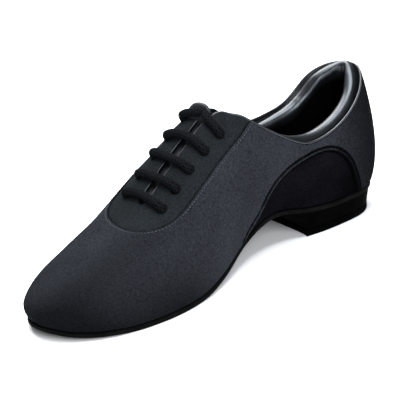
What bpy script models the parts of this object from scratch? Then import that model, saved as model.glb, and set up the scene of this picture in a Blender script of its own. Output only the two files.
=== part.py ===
"""A low-heeled lace-up ballroom dance shoe for the right foot, as separate closed solids.

Metres, +Z up. The toe points to -Y, the inner (medial) side to +X, and the shoe stands on the floor
at z = 0 with the middle of its box over the origin. One form, a last, gives every curved piece its shape:
a place on it has a share of the shoe's length and a turn, from 1 at the inner feather edge
over 0 at the ridge to -1 at the outer feather edge.
"""

import math

import bmesh
import bpy
import numpy as np
from mathutils.geometry import delaunay_2d_cdt

# Sizes of the form
LENGTH = 0.285
BALL_WIDTH = 0.0925
INSTEP_HEIGHT = 0.0935
SIDE_SWELL = 0.007
HEEL_BULGE = 0.0070
TOE_TUCK = 0.0045
NOSE_HEIGHT = 0.012
SEAT_RISE = 0.0152
ARCH_LIFT = 0.0085
TOE_SPRING = 0.0054

# Sizes of the upper and what is on it
COLLAR_HEIGHT = 0.0765
WALL = 0.0022
PANEL_STEP = 0.0008
SLIT = 0.0070
FACING_REACH = 0.0314
ARCH_HEIGHT = 0.037
OUTER_DROP = 0.15
BINDING = 0.0017
PADDING_THICKNESS = 0.0052
PADDING_DEPTH = 0.0150
PADDING_RISE = 0.0008

# Laces
CORD = 0.0038
LACE_SPREAD = 0.0362
LACE_ROWS = 5
FIRST_LACE = 0.6475
LAST_LACE = 0.4625

# Tongue, insole, sole and heel
TONGUE_THICKNESS = 0.0022
TONGUE_WIDTH = 0.040
TONGUE_FRONT = 0.675
TONGUE_BACK = 0.398
INSOLE_THICKNESS = 0.0018
SOLE_THICKNESS = 0.0030
SOLE_MARGIN = 0.0010
HEEL_LENGTH = 0.0725
HEEL_INSET = 0.0008
HEEL_TAPER = 0.0045
BREAST_SLOPE = 0.0190
LIFT_THICKNESS = 0.0050

# Clearances between neighbours, and the size of the facets
GAP = 0.0003
SOFT_GAP = 0.0008
LACE_GAP = 0.0006
HOLE_GAP = 0.0009
CELL = 0.0070

SEAT_HEIGHT = SOLE_THICKNESS + GAP + SEAT_RISE

# The form's cross sections. Rise is a share of SEAT_RISE, arch of ARCH_LIFT, spring of TOE_SPRING, inner,
# outer and ridge of BALL_WIDTH, swell of SIDE_SWELL and height of INSTEP_HEIGHT. Arch lifts the inner feather
# edge alone. Fullness is the section's roundness.
SECTION_COLUMNS = ("share", "rise", "arch", "spring", "inner", "outer", "ridge", "swell", "height", "fullness")
SECTIONS = (
    (0.000, 1.000, 0.00, 0.00, 0.000, 0.000, 0.000, 0.43, 1.011, 0.95),
    (0.015, 1.000, 0.00, 0.00, 0.160, 0.160, 0.000, 0.50, 1.011, 0.95),
    (0.060, 1.000, 0.00, 0.00, 0.284, 0.276, 0.000, 0.57, 1.011, 0.92),
    (0.140, 0.985, 0.00, 0.00, 0.319, 0.309, 0.000, 0.57, 1.018, 0.88),
    (0.240, 0.940, 0.30, 0.00, 0.298, 0.323, 0.000, 0.64, 1.031, 0.85),
    (0.340, 0.800, 1.00, 0.00, 0.246, 0.350, 0.000, 0.86, 1.022, 0.82),
    (0.440, 0.540, 0.63, 0.00, 0.292, 0.394, -0.024, 1.00, 0.941, 0.82),
    (0.540, 0.180, 0.25, 0.00, 0.415, 0.449, -0.040, 0.86, 0.789, 0.82),
    (0.640, 0.020, 0.00, 0.00, 0.512, 0.478, -0.012, 0.71, 0.603, 0.80),
    (0.720, 0.000, 0.00, 0.00, 0.541, 0.457, 0.030, 0.64, 0.471, 0.76),
    (0.800, 0.000, 0.00, 0.00, 0.522, 0.410, 0.058, 0.57, 0.375, 0.72),
    (0.880, 0.000, 0.00, 0.19, 0.459, 0.322, 0.068, 0.50, 0.293, 0.68),
    (0.950, 0.000, 0.00, 0.48, 0.337, 0.186, 0.069, 0.36, 0.212, 0.66),
    (0.985, 0.000, 0.00, 0.80, 0.212, 0.076, 0.069, 0.21, 0.138, 0.66),
    (1.000, 0.000, 0.00, 1.00, 0.068, -0.068, 0.068, 0.07, 0.000, 0.66),
)
STEADY_COLUMNS = ("rise", "arch", "spring", "swell", "fullness")

# The topline from the back to the facing: height over the seat as a share of COLLAR_HEIGHT.
TOPLINE_COLUMNS = ("share", "height")
TOPLINE = (
    (0.000, 1.000),
    (0.020, 0.935),
    (0.062, 0.796),
    (0.130, 0.687),
    (0.195, 0.630),
    (0.253, 0.628),
    (0.319, 0.758),
    (0.352, 0.864),
)

# The facing's seam from the topline round under the laces: half its width as a share of FACING_REACH.
FACING_COLUMNS = ("share", "reach")
FACING = (
    (0.384, 0.655),
    (0.425, 0.761),
    (0.476, 0.863),
    (0.536, 0.955),
    (0.596, 1.000),
    (0.642, 0.965),
    (0.693, 0.720),
    (0.717, 0.380),
    (0.724, 0.000),
)

# The facing's top edge, from the seam to the slit, and the slit. Reach is as above; slit is a share of SLIT.
THROAT_COLUMNS = ("share", "reach", "slit")
THROAT = (
    (0.404, 0.540, 0.0),
    (0.422, 0.400, 0.0),
    (0.438, 0.210, 0.0),
    (0.462, 0.000, 0.5),
    (0.520, 0.000, 0.5),
    (0.580, 0.000, 0.5),
    (0.640, 0.000, 0.5),
    (0.6585, 0.000, 0.36),
    (0.6635, 0.000, 0.0),
)

# The seam over the arch panel, from the waist to the heel: height over the feather edge, of ARCH_HEIGHT.
ARCH_COLUMNS = ("share", "height")
ARCH = (
    (0.445, 0.000),
    (0.417, 0.090),
    (0.396, 0.150),
    (0.362, 0.370),
    (0.309, 0.740),
    (0.248, 0.985),
    (0.177, 0.995),
    (0.134, 0.700),
    (0.110, 0.230),
    (0.100, 0.000),
)

# Colour, roughness and metallic value of each material
BLACK_STRETCH_FABRIC = ("black_stretch_fabric", (0.026, 0.032, 0.040), 0.85, 0.0)
GLOSSY_LEATHER = ("glossy_black_leather", (0.010, 0.011, 0.013), 0.25, 0.0)
SOFT_LINING = ("soft_black_lining", (0.012, 0.012, 0.014), 0.90, 0.0)
SUEDE_SOLE = ("dark_suede_sole", (0.020, 0.019, 0.018), 0.95, 0.0)
HEEL_RUBBER = ("black_heel_rubber", (0.010, 0.010, 0.011), 0.60, 0.0)
BLACK_CORD = ("black_braided_cord", (0.020, 0.023, 0.026), 0.80, 0.0)


def smooth_curve(knots, values, at):
    """The cubic curve through the knots whose bend changes without a jump."""
    x = np.asarray(knots, float)
    y = np.asarray(values, float)
    step = np.diff(x)
    slope = np.diff(y) / step
    system = np.eye(len(x))
    right = np.zeros(len(x))
    for i in range(1, len(x) - 1):
        system[i, i - 1 : i + 2] = step[i - 1], 2 * (step[i - 1] + step[i]), step[i]
        right[i] = 6 * (slope[i] - slope[i - 1])
    bend = np.linalg.solve(system, right)
    k = np.clip(np.searchsorted(x, at) - 1, 0, len(x) - 2)
    t = at - x[k]
    start = slope[k] - step[k] * (2 * bend[k] + bend[k + 1]) / 6
    return y[k] + t * (start + t * (bend[k] / 2 + t * (bend[k + 1] - bend[k]) / (6 * step[k])))


def steady_curve(knots, values, at):
    """A curve through the knots that never swings past them, so equal values stay level."""
    x = np.asarray(knots, float)
    y = np.asarray(values, float)
    step = np.diff(x)
    slope = np.diff(y) / step
    same_way = slope[:-1] * slope[1:] > 0
    weight_a = 2 * step[1:] + step[:-1]
    weight_b = step[1:] + 2 * step[:-1]
    safe = np.where(same_way, slope[:-1], 1.0), np.where(same_way, slope[1:], 1.0)
    inner = (weight_a + weight_b) / (weight_a / safe[0] + weight_b / safe[1])
    turn = np.concatenate([slope[:1], np.where(same_way, inner, 0.0), slope[-1:]])
    k = np.clip(np.searchsorted(x, at) - 1, 0, len(x) - 2)
    t = (at - x[k]) / step[k]
    rest = 1 - t
    ends = y[k] * rest**2 * (1 + 2 * t) + y[k + 1] * t**2 * (3 - 2 * t)
    return ends + step[k] * t * rest * (turn[k] * rest - turn[k + 1] * t)


def column(table, columns, name):
    """One named column of a table."""
    return np.array([row[columns.index(name)] for row in table], float)


def arc_of(share):
    """Share of length turned into an even walk along the outline, 0 at the heel and 1 at the toe."""
    return np.arccos(np.clip(1 - 2 * np.asarray(share, float), -1, 1)) / math.pi


def share_of(arc):
    """The reverse of arc_of."""
    return (1 - np.cos(math.pi * np.asarray(arc, float))) / 2


SECTION_ARCS = arc_of(column(SECTIONS, SECTION_COLUMNS, "share"))
SECTION_UNITS = {
    "rise": SEAT_RISE,
    "arch": ARCH_LIFT,
    "spring": TOE_SPRING,
    "inner": BALL_WIDTH,
    "outer": BALL_WIDTH,
    "ridge": BALL_WIDTH,
    "swell": SIDE_SWELL,
    "height": INSTEP_HEIGHT,
    "fullness": 1.0,
}


def section(arc):
    """The form's cross section at each place along it: every column of the table as a real size."""
    found = {}
    for name, unit in SECTION_UNITS.items():
        curve = steady_curve if name in STEADY_COLUMNS else smooth_curve
        found[name] = unit * curve(SECTION_ARCS, column(SECTIONS, SECTION_COLUMNS, name), arc)
    found["bottom"] = SOLE_THICKNESS + GAP + found["rise"] + found["spring"]
    return found


def place(arc, turn):
    """Points on the form. Past either end the walk comes back on the other side, so slopes can be taken there."""
    arc, turn = np.broadcast_arrays(np.asarray(arc, float), np.asarray(turn, float))
    past = (arc < 0) | (arc > 1)
    turn = np.where(past, -turn, turn)
    arc = np.where(arc < 0, -arc, np.where(arc > 1, 2 - arc, arc))
    cut = section(arc)
    side = np.where(turn < 0, -1.0, 1.0)
    angle = (1 - np.abs(turn)) * math.pi / 2
    rise = np.clip(np.sin(angle), 0, 1)
    level = np.clip(np.cos(angle), 0, 1)
    reach = np.where(side > 0, cut["inner"], -cut["outer"]) - cut["ridge"]
    swell = cut["swell"] * (1 - (1 - np.sin(math.pi * arc)) ** 3) * 2 * rise * level
    x = cut["ridge"] + reach * level ** cut["fullness"] + side * swell
    z = cut["bottom"] + cut["height"] * rise + np.where(side > 0, cut["arch"], 0) * level**3 * np.abs(turn)
    share = share_of(arc)
    back_height = np.clip((z - cut["bottom"]) / COLLAR_HEIGHT, 0, 1)
    bulge = HEEL_BULGE * np.sin(math.pi * back_height**0.6) * np.clip(1 - share / 0.22, 0, 1) ** 2
    y = -(LENGTH * share - bulge)
    low = np.clip(1 - (z - cut["bottom"]) / NOSE_HEIGHT, 0, 1) ** 2
    tuck = TOE_TUCK * low * np.clip((share - 0.8) / 0.2, 0, 1) ** 2
    away_x = x - cut["ridge"]
    away_y = y + LENGTH * 0.86
    away = np.hypot(away_x, away_y) + 1e-9
    return np.stack([x - tuck * away_x / away, y - tuck * away_y / away, z], -1)


def outward(arc, turn):
    """Unit vectors that point out of the form."""
    arc, turn = np.broadcast_arrays(np.asarray(arc, float), np.asarray(turn, float))
    small = 1e-3
    along = place(arc + small, turn) - place(arc - small, turn)
    up = place(arc, np.clip(turn - small, -1, 1)) - place(arc, np.clip(turn + small, -1, 1))
    normal = np.cross(up, along)
    normal[..., 0] = np.where(arc < small, 0.0, normal[..., 0])
    normal = np.where((arc > 1 - small)[..., None], (0.0, -1.0, 0.0), normal)
    return normal / np.linalg.norm(normal, axis=-1, keepdims=True)


def turn_at_height(arc, height):
    """The turn at which the form's inner side is a height over the feather edge."""
    cut = section(arc)
    return 1 - np.arcsin(np.clip(height / cut["height"], 0, 1)) * 2 / math.pi


def turn_at_reach(arc, reach, side=1):
    """The turn at which the form's side is a true distance across from the ridge, found by halving."""
    arc, reach, side = np.broadcast_arrays(np.asarray(arc, float), np.abs(reach), side)
    ridge = section(arc)["ridge"]
    low = np.zeros(arc.shape)
    high = np.full(arc.shape, 0.8)
    for _ in range(40):
        middle = (low + high) / 2
        short = np.abs(place(arc, side * middle)[..., 0] - ridge) < reach
        low = np.where(short, middle, low)
        high = np.where(short, high, middle)
    return side * np.where(reach > 0, (low + high) / 2, 0.0)


# The pattern plane: the form's arc and turn, stretched to about real size
PATTERN = np.array([0.300, 0.105])


def through(points, start, end, spacing, mirror_start=None, mirror_end=None):
    """Evenly spaced points of a smooth curve through hand-set places in the pattern plane.

    Start and end are places in the list. A mirror, +1 or -1 for each axis, continues the curve past an end
    by its own reflection there, so that it crosses the line of symmetry squarely.
    """
    rows = np.asarray(points, float) * PATTERN
    first, last = start, end
    if mirror_start is not None:
        rows = np.concatenate([(rows[2:0:-1] - rows[0]) * mirror_start + rows[0], rows])
        first, last = first + 2, last + 2
    if mirror_end is not None:
        rows = np.concatenate([rows, (rows[-2:-4:-1] - rows[-1]) * mirror_end + rows[-1]])
    walk = np.concatenate([[0], np.cumsum(np.hypot(*np.diff(rows, axis=0).T))])
    count = max(2, round((walk[last] - walk[first]) / spacing))
    at = np.linspace(walk[first], walk[last], count + 1)
    return np.stack([smooth_curve(walk, rows[:, i], at) for i in (0, 1)], 1)


def facing_turn(arc, reach, side):
    """The turn of a place on the facing from its reach on the inner side. The outer side lies further down."""
    return side * turn_at_reach(arc, reach * FACING_REACH) * (1 if side > 0 else 1 + OUTER_DROP)


def rim_rows(side):
    """Places of the whole rim on one side, from the heel's back over the topline and down the slit."""
    rows = []
    for share, height in TOPLINE:
        arc = arc_of(share)
        over_feather = SEAT_HEIGHT + height * COLLAR_HEIGHT - section(arc)["bottom"]
        rows.append((arc, side * turn_at_height(arc, over_feather)))
    for share, reach, slit in (FACING[0] + (0,), *THROAT):
        arc = arc_of(share)
        rows.append((arc, facing_turn(arc, reach, side) + turn_at_reach(arc, slit * SLIT, side)))
    return np.array([(float(a), float(t)) for a, t in rows])


def rim_line(side, spacing):
    """The rim on one side in two runs that meet where the facing's seam starts."""
    rows = rim_rows(side)
    corner = len(TOPLINE)
    last = len(rows) - 1
    mirrors = {"mirror_start": (-1, 1), "mirror_end": (1, -1)}
    back = through(rows, 0, corner, spacing * 0.8, **mirrors)
    front = through(rows, corner, last, spacing * 0.5, **mirrors)
    return back, front


def facing_line(side, spacing):
    """The facing's seam on one side, from the topline to the ridge."""
    arcs = arc_of(column(FACING, FACING_COLUMNS, "share"))
    turns = facing_turn(arcs, column(FACING, FACING_COLUMNS, "reach"), side)
    rows = np.stack([arcs, turns], 1)
    return through(rows, 0, len(rows) - 1, spacing, mirror_end=(1, -1))


def arch_line(side, spacing):
    """The seam over the arch panel on one side, from the waist to the heel."""
    arcs = arc_of(column(ARCH, ARCH_COLUMNS, "share"))
    heights = column(ARCH, ARCH_COLUMNS, "height") * ARCH_HEIGHT
    rows = np.stack([arcs, side * turn_at_height(arcs, heights)], 1)
    return through(rows, 0, len(rows) - 1, spacing)


def straight(a, b, spacing):
    """Evenly spaced points between two places in the pattern plane, both ends included."""
    a, b = np.asarray(a, float), np.asarray(b, float)
    count = max(1, round(float(np.hypot(*(b - a))) / spacing))
    return a + np.linspace(0, 1, count + 1)[:, None] * (b - a)


def inside(points, loop):
    """Whether each point lies inside a closed loop of the pattern plane."""
    x, y = points[:, :1], points[:, 1:]
    ax, ay = loop[:, 0], loop[:, 1]
    bx, by = np.roll(ax, -1), np.roll(ay, -1)
    crosses = (ay > y) != (by > y)
    rise = np.where(by == ay, 1.0, by - ay)
    left = x < ax + (y - ay) * (bx - ax) / rise
    return (crosses & left).sum(1) % 2 == 1


def hole_ring(arc, turn, radius, count=10):
    """A ring in the pattern plane that is a round hole on the form."""
    small = 1e-3
    along = (place(arc + small, turn) - place(arc - small, turn)) / (2 * small * PATTERN[0])
    across = (place(arc, turn + small) - place(arc, turn - small)) / (2 * small * PATTERN[1])
    metric = np.array([[along @ along, along @ across], [along @ across, across @ across]])
    values, vectors = np.linalg.eigh(metric)
    spread = vectors @ np.diag(values**-0.5) @ vectors.T
    angles = np.arange(count) * 2 * math.pi / count
    circle = radius * np.stack([np.cos(angles), np.sin(angles)], 1)
    return np.array([arc, turn]) * PATTERN + circle @ spread.T


def lace_places():
    """Arc of each lace row, first by the toe, and the turns of its inner and outer hole."""
    rows = []
    for share in np.linspace(FIRST_LACE, LAST_LACE, LACE_ROWS):
        arc = float(arc_of(share))
        turns = [float(turn_at_reach(arc, LACE_SPREAD / 2, side)) for side in (1, -1)]
        rows.append((arc, *turns))
    return rows


def new_part(name, look, vertices, faces):
    """A mesh object in the parts' collection, welded, closed and facing out, with its material."""
    mesh = bpy.data.meshes.new(name)
    mesh.from_pydata([tuple(map(float, v)) for v in vertices], [], [tuple(map(int, f)) for f in faces])
    work = bmesh.new()
    work.from_mesh(mesh)
    bmesh.ops.remove_doubles(work, verts=work.verts, dist=1e-6)
    bmesh.ops.dissolve_degenerate(work, edges=work.edges, dist=1e-7)
    loose = [v for v in work.verts if not v.link_faces]
    bmesh.ops.delete(work, geom=loose, context="VERTS")
    bmesh.ops.recalc_face_normals(work, faces=work.faces)
    work.to_mesh(mesh)
    work.free()
    mesh.shade_smooth()
    mesh.set_sharp_from_angle(angle=math.radians(35))
    return finish_part(bpy.data.objects.new(name, mesh), look)


def finish_part(part, look):
    """Gives an object its material and its place in the shoe's collection."""
    name, colour, roughness, metallic = look
    material = bpy.data.materials.get(name) or bpy.data.materials.new(name)
    material.use_nodes = True
    shader = material.node_tree.nodes["Principled BSDF"]
    shader.inputs["Base Color"].default_value = (*colour, 1)
    shader.inputs["Roughness"].default_value = roughness
    shader.inputs["Metallic"].default_value = metallic
    part.data.materials.append(material)
    bpy.data.collections["ballroom_shoe"].objects.link(part)
    return part


def block(name, look, points):
    """The closed skin of a block of points, counted lengthwise, crosswise and upwards."""
    count = points.shape[:3]
    index = np.arange(int(np.prod(count))).reshape(count)
    faces = []
    for axis in range(3):
        for end in (0, -1):
            sheet = index.take(end, axis)
            corners = (sheet[:-1, :-1], sheet[1:, :-1], sheet[1:, 1:], sheet[:-1, 1:])
            faces.append(np.stack(corners, -1).reshape(-1, 4))
    return new_part(name, look, points.reshape(-1, 3), np.concatenate(faces))


def pattern_mesh(loops, lines, spacing):
    """Triangles of the pattern between its loops, following its seam lines. The first loop is the outline."""
    points, edges = [], []
    for line, closed in [(loop, True) for loop in loops] + [(line, False) for line in lines]:
        first = len(points)
        points.extend(line)
        run = list(range(first, len(points)))
        edges.extend(zip(run, run[1:] + run[:1] if closed else run[1:]))
    fixed = np.array(points)
    low, high = fixed.min(0), fixed.max(0)
    rows = []
    for i, y in enumerate(np.arange(low[1], high[1], spacing * math.sqrt(3) / 2)):
        xs = np.arange(low[0] + spacing * (i % 2) / 2, high[0], spacing)
        rows.append(np.stack([xs, np.full(len(xs), y)], 1))
    grid = np.concatenate(rows)
    grid = grid[inside(grid, loops[0])]
    for loop in loops[1:]:
        grid = grid[~inside(grid, loop)]
    clear = np.hypot(*(grid[:, None] - fixed[None]).transpose(2, 0, 1)).min(1) > spacing * 0.62
    cloud = np.concatenate([fixed, grid[clear]])
    flat, _, triangles, *_ = delaunay_2d_cdt([tuple(p) for p in cloud], edges, [], 0, 1e-7)
    flat = np.array([tuple(p) for p in flat])
    triangles = np.array(triangles)
    middle = flat[triangles].mean(1)
    keep = inside(middle, loops[0])
    for loop in loops[1:]:
        keep &= ~inside(middle, loop)
    return flat, triangles[keep]


def join_ends(flat):
    """One number for each pattern point. Both copies on the heel's line share it, and so does the whole tip."""
    arc = flat[:, 0] / PATTERN[0]
    turn = flat[:, 1] / PATTERN[1]
    turn = np.where(arc < 1e-6, np.abs(turn), np.where(arc > 1 - 1e-6, 0.0, turn))
    keys = np.round(np.stack([arc, turn], 1), 7)
    _, first, number = np.unique(keys, axis=0, return_index=True, return_inverse=True)
    return first, number.reshape(-1)


def make_upper():
    """The upper: one shell with a wall, open at the collar, the throat, the lace holes and underneath.

    The facing and the arch panels lie a step below the quarters and vamp that overlap them. The lower and the
    higher faces meet along each seam in a small upright face.
    """
    facing = np.concatenate([facing_line(1, CELL * 0.8), facing_line(-1, CELL * 0.8)[-2::-1]])
    arches = {side: arch_line(side, CELL * 0.8) for side in (1, -1)}
    holes = [hole_ring(arc, turn, CORD / 2 + HOLE_GAP) for arc, *turns in lace_places() for turn in turns]
    loops = [upper_outline(arches), *holes]
    flat, triangles = pattern_mesh(loops, [facing, *arches.values()], CELL)
    middle = flat[triangles].mean(1)
    low = inside(middle, facing) | inside(middle, arches[1]) | inside(middle, arches[-1])
    first, number = join_ends(flat)
    triangles = number[triangles]
    whole = (triangles != np.roll(triangles, 1, axis=1)).all(1)
    triangles, low = triangles[whole], low[whole]
    arc, turn = (flat[first] / PATTERN).T
    count = len(arc)
    base = place(arc, turn)
    out = outward(arc, turn)
    layers = [base - depth * out for depth in (0, PANEL_STEP, WALL)]
    faces = [*(triangles + count * low[:, None]), *(triangles + 2 * count)]
    faces += edge_faces(triangles, low, count)
    return new_part("upper", BLACK_STRETCH_FABRIC, np.concatenate(layers), faces)


def upper_outline(arches):
    """The upper's outline in the pattern plane: heel, rim, other side, feather edge, toe and back again."""
    flip = np.array([1, -1])
    girth = PATTERN[1]
    rim = {side: np.concatenate([rim_line(side, CELL)[0], rim_line(side, CELL)[1][1:]]) for side in (1, -1)}
    heel = straight((0, girth), rim[1][0], CELL)
    toe = straight((PATTERN[0], girth), (PATTERN[0], 0), CELL * 2)
    feather = {}
    for side in (1, -1):
        stops = [(0, side * girth), arches[side][-1], arches[side][0], (PATTERN[0], side * girth)]
        runs = [straight(a, b, CELL)[:-1] for a, b in zip(stops, stops[1:])]
        feather[side] = np.concatenate([*runs, [stops[-1]]])
    pieces = [
        heel[:-1],
        rim[1][:-1],
        rim[-1][:0:-1],
        (heel * flip)[:0:-1],
        feather[-1][:-1],
        (toe * flip)[:-1],
        toe[:0:-1],
        feather[1][:0:-1],
    ]
    return np.concatenate(pieces)


def edge_faces(triangles, low, count):
    """Faces that close the shell at its open edges, and the upright faces of its steps."""
    level = {}
    for corners, down in zip(triangles.tolist(), low.tolist()):
        for a, b in zip(corners, corners[1:] + corners[:1]):
            level[a, b] = int(down)
    faces = []
    levels_at = {}
    for (a, b), own in level.items():
        if (b, a) not in level:
            faces.append((b + own * count, a + own * count, a + 2 * count, b + 2 * count))
            levels_at.setdefault(a, set()).add(own)
            levels_at.setdefault(b, set()).add(own)
        elif own > level[b, a]:
            faces.append((b + count, a + count, a, b))
    faces += [(v, v + count, v + 2 * count) for v, levels in levels_at.items() if len(levels) == 2]
    return faces


def rim_places(spacing):
    """Arcs and turns round the whole rim, and how deep the middle of the wall lies at each."""
    loop = []
    depths = []
    for side in (1, -1):
        back, front = rim_line(side, spacing)
        run = np.concatenate([back[:-1], front[:-1]])
        depth = np.where(np.arange(len(run)) < len(back) - 1, WALL / 2, (WALL + PANEL_STEP) / 2)
        if side < 0:
            run = np.concatenate([run[1:], front[-1:]])
            depth = np.concatenate([depth[1:], depth[-1:]])
            run, depth = run[::-1], depth[::-1]
        loop.append(run)
        depths.append(depth)
    arc, turn = (np.concatenate(loop) / PATTERN).T
    return arc, turn, np.concatenate(depths)


def cord_part(name, look, points, radius, closed=False, rings=2):
    """A round cord along a line of points, made as a bevelled curve."""
    curve = bpy.data.curves.new(name, "CURVE")
    curve.dimensions = "3D"
    curve.bevel_depth = radius
    curve.bevel_resolution = rings
    curve.use_fill_caps = not closed
    line = curve.splines.new("POLY")
    line.points.add(len(points) - 1)
    line.points.foreach_set("co", np.column_stack([points, np.ones(len(points))]).ravel())
    line.use_cyclic_u = closed
    line.use_smooth = True
    return finish_part(bpy.data.objects.new(name, curve), look)


def make_edge_binding():
    """A glossy bead that runs round the whole rim, just off the edge of the wall."""
    arc, turn, depth = rim_places(CELL)
    out = outward(arc, turn)
    edge = place(arc, turn) - depth[:, None] * out
    along = np.roll(edge, -1, 0) - np.roll(edge, 1, 0)
    off = np.cross(along, out)
    off /= np.linalg.norm(off, axis=1, keepdims=True)
    points = edge + off * (BINDING / 2 + GAP)
    return cord_part("edge_binding", GLOSSY_LEATHER, points, BINDING / 2, closed=True, rings=1)


def make_collar_padding():
    """A padded roll inside the topline, from one end of the facing round the heel to the other."""
    back = {side: rim_line(side, CELL)[0][:-2] for side in (1, -1)}
    stations = np.concatenate([back[1][::-1], back[-1][1:]]) / PATTERN
    count = 10
    around = np.arange(count) * 2 * math.pi / count
    from_end = np.minimum(np.arange(len(stations)), np.arange(len(stations))[::-1])
    size = np.sqrt(np.clip((from_end + 0.5) / 3, 0, 1))[:, None]
    arc, turn = stations.T
    small = 1e-3
    rate = np.linalg.norm(place(arc, turn * (1 + small)) - place(arc, turn), axis=1)
    rate /= np.abs(turn) * small
    down = (PADDING_DEPTH / 2) * (1 - size * np.cos(around)) - PADDING_RISE
    depth = WALL + SOFT_GAP + PADDING_THICKNESS / 2 * (1 - size * np.sin(around))
    turns = turn[:, None] + np.sign(turn)[:, None] * down / rate[:, None]
    arcs = np.broadcast_to(arc[:, None], turns.shape)
    points = place(arcs, turns) - depth[..., None] * outward(arcs, turns)
    return tube("collar_padding", GLOSSY_LEATHER, points)


def tube(name, look, rings):
    """A closed tube through rings of points, with flat ends."""
    length, count = rings.shape[:2]
    index = np.arange(length * count).reshape(length, count)
    near, far = index[:-1], index[1:]
    sides = np.stack([near, far, np.roll(far, -1, 1), np.roll(near, -1, 1)], -1).reshape(-1, 4)
    faces = [*sides.tolist(), index[0].tolist(), index[-1, ::-1].tolist()]
    return new_part(name, look, rings.reshape(-1, 3), faces)


def make_tongue():
    """The tongue, a strip that follows the form under the facing and shows in the slit and over it."""
    arcs = np.linspace(arc_of(TONGUE_FRONT), arc_of(TONGUE_BACK), 14)
    reaches = np.linspace(-TONGUE_WIDTH / 2, TONGUE_WIDTH / 2, 9)
    side = np.where(reaches < 0, -1, 1)
    arc = np.repeat(arcs[:, None], len(reaches), 1)
    turn = turn_at_reach(arc, np.abs(reaches), side)
    base = place(arc, turn)
    out = outward(arc, turn)
    top = WALL + SOFT_GAP
    layers = [base - depth * out for depth in (top + TONGUE_THICKNESS, top)]
    return block("tongue", GLOSSY_LEATHER, np.stack(layers, 2))


def outline_rows(arcs, offset, count):
    """Rows of points across the form's foot from edge to edge, the edges moved outwards by an offset."""
    edges = []
    for side in (-1, 1):
        out = outward(arcs, side)
        out[:, 2] = 0
        out /= np.linalg.norm(out, axis=1, keepdims=True)
        edges.append(place(arcs, side) + out * np.reshape(offset, (-1, 1)))
    across = np.linspace(0, 1, count)[None, :, None]
    return edges[0][:, None] * (1 - across) + edges[1][:, None] * across


def make_insole():
    """A thin insole inside the foot of the upper."""
    rows = outline_rows(np.linspace(0, 1, 44), -(WALL + SOFT_GAP), 7) + (0, 0, SOFT_GAP)
    lift = np.array([0, 0, INSOLE_THICKNESS])
    return block("insole", SOFT_LINING, np.stack([rows, rows + lift], 2))


def make_outsole():
    """The outsole, from toe to heel seat: it carries the upper, and its forefoot has a level underside."""
    arcs = np.linspace(0, 1, 44)
    ramp = np.clip((share_of(arcs) - 0.42) / 0.2, 0, 1)
    margin = SOLE_MARGIN * ramp**2 * (3 - 2 * ramp)
    rows = outline_rows(arcs, margin, 7)
    top = np.array([0, 0, -GAP])
    under = np.array([0, 0, -GAP - SOLE_THICKNESS])
    return block("outsole", SUEDE_SOLE, np.stack([rows + under, rows + top], 2))


def heel_rows(level):
    """Rows of points across the heel at one level, 0 at the lift and 1 at the seat. Its back and breast slope."""
    front = arc_of((HEEL_LENGTH + BREAST_SLOPE * level**1.5) / LENGTH)
    arcs = np.linspace(0, front, 14)
    rows = outline_rows(arcs, -HEEL_INSET, 5)
    rows[..., 1] -= HEEL_TAPER * (1 - level) * (1 - arcs / front)[:, None]
    return rows


def make_heel():
    """The heel block under the outsole's seat, with a hollow breast that runs out under the arch."""
    levels = []
    for level in (0, 0.25, 0.5, 0.75, 1):
        rows = heel_rows(level)
        top = rows[..., 2] - GAP - SOLE_THICKNESS - SOFT_GAP
        bottom = LIFT_THICKNESS + GAP
        rows[..., 2] = bottom + level * (top - bottom)
        levels.append(rows)
    return block("heel", HEEL_RUBBER, np.stack(levels, 2))


def make_heel_lift():
    """The lift, the flat piece of the heel that meets the floor."""
    levels = []
    for height in (0, LIFT_THICKNESS):
        rows = heel_rows(0)
        rows[..., 2] = height
        levels.append(rows)
    return block("heel_lift", HEEL_RUBBER, np.stack(levels, 2))


def lace_line(arc, start, end):
    """Points of a lace across the throat, from reach to reach, dipping into the hole at each end that has one."""
    high = LACE_GAP + CORD / 2 - PANEL_STEP
    deep = -PANEL_STEP - 0.4 * (WALL - PANEL_STEP)
    bend = CORD * 0.75
    reaches, heights = [], []
    for reach, sign in ((start, 1), (end, -1)):
        if abs(reach) < LACE_SPREAD / 2 - GAP:
            angles = np.array([math.pi / 2])
            reach = reach - sign * bend
        else:
            angles = np.linspace(0, math.pi / 2, 6)
        run = reach + sign * bend * (1 - np.cos(angles))
        rise = deep + (high - deep) * np.sin(angles)
        reaches.append(run if sign > 0 else run[::-1])
        heights.append(rise if sign > 0 else rise[::-1])
    between = np.linspace(reaches[0][-1], reaches[1][0], 8)[1:-1]
    reach = np.concatenate([reaches[0], between, reaches[1]])
    height = np.concatenate([heights[0], np.full(len(between), high), heights[1]])
    turn = turn_at_reach(np.full(len(reach), arc), np.abs(reach), np.where(reach < 0, -1, 1))
    return place(arc, turn) + height[:, None] * outward(arc, turn)


def make_laces():
    """Straight bars of round cord across the throat, and in the top row two ends that meet over the slit."""
    half = LACE_SPREAD / 2
    rows = lace_places()
    for number, (arc, *_) in enumerate(rows[:-1], 1):
        cord_part(f"lace_bar_{number}", BLACK_CORD, lace_line(arc, -half, half), CORD / 2)
    arc = rows[-1][0]
    cord_part("lace_end_outer", BLACK_CORD, lace_line(arc, -half, -GAP), CORD / 2)
    cord_part("lace_end_inner", BLACK_CORD, lace_line(arc, GAP, half), CORD / 2)


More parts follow.
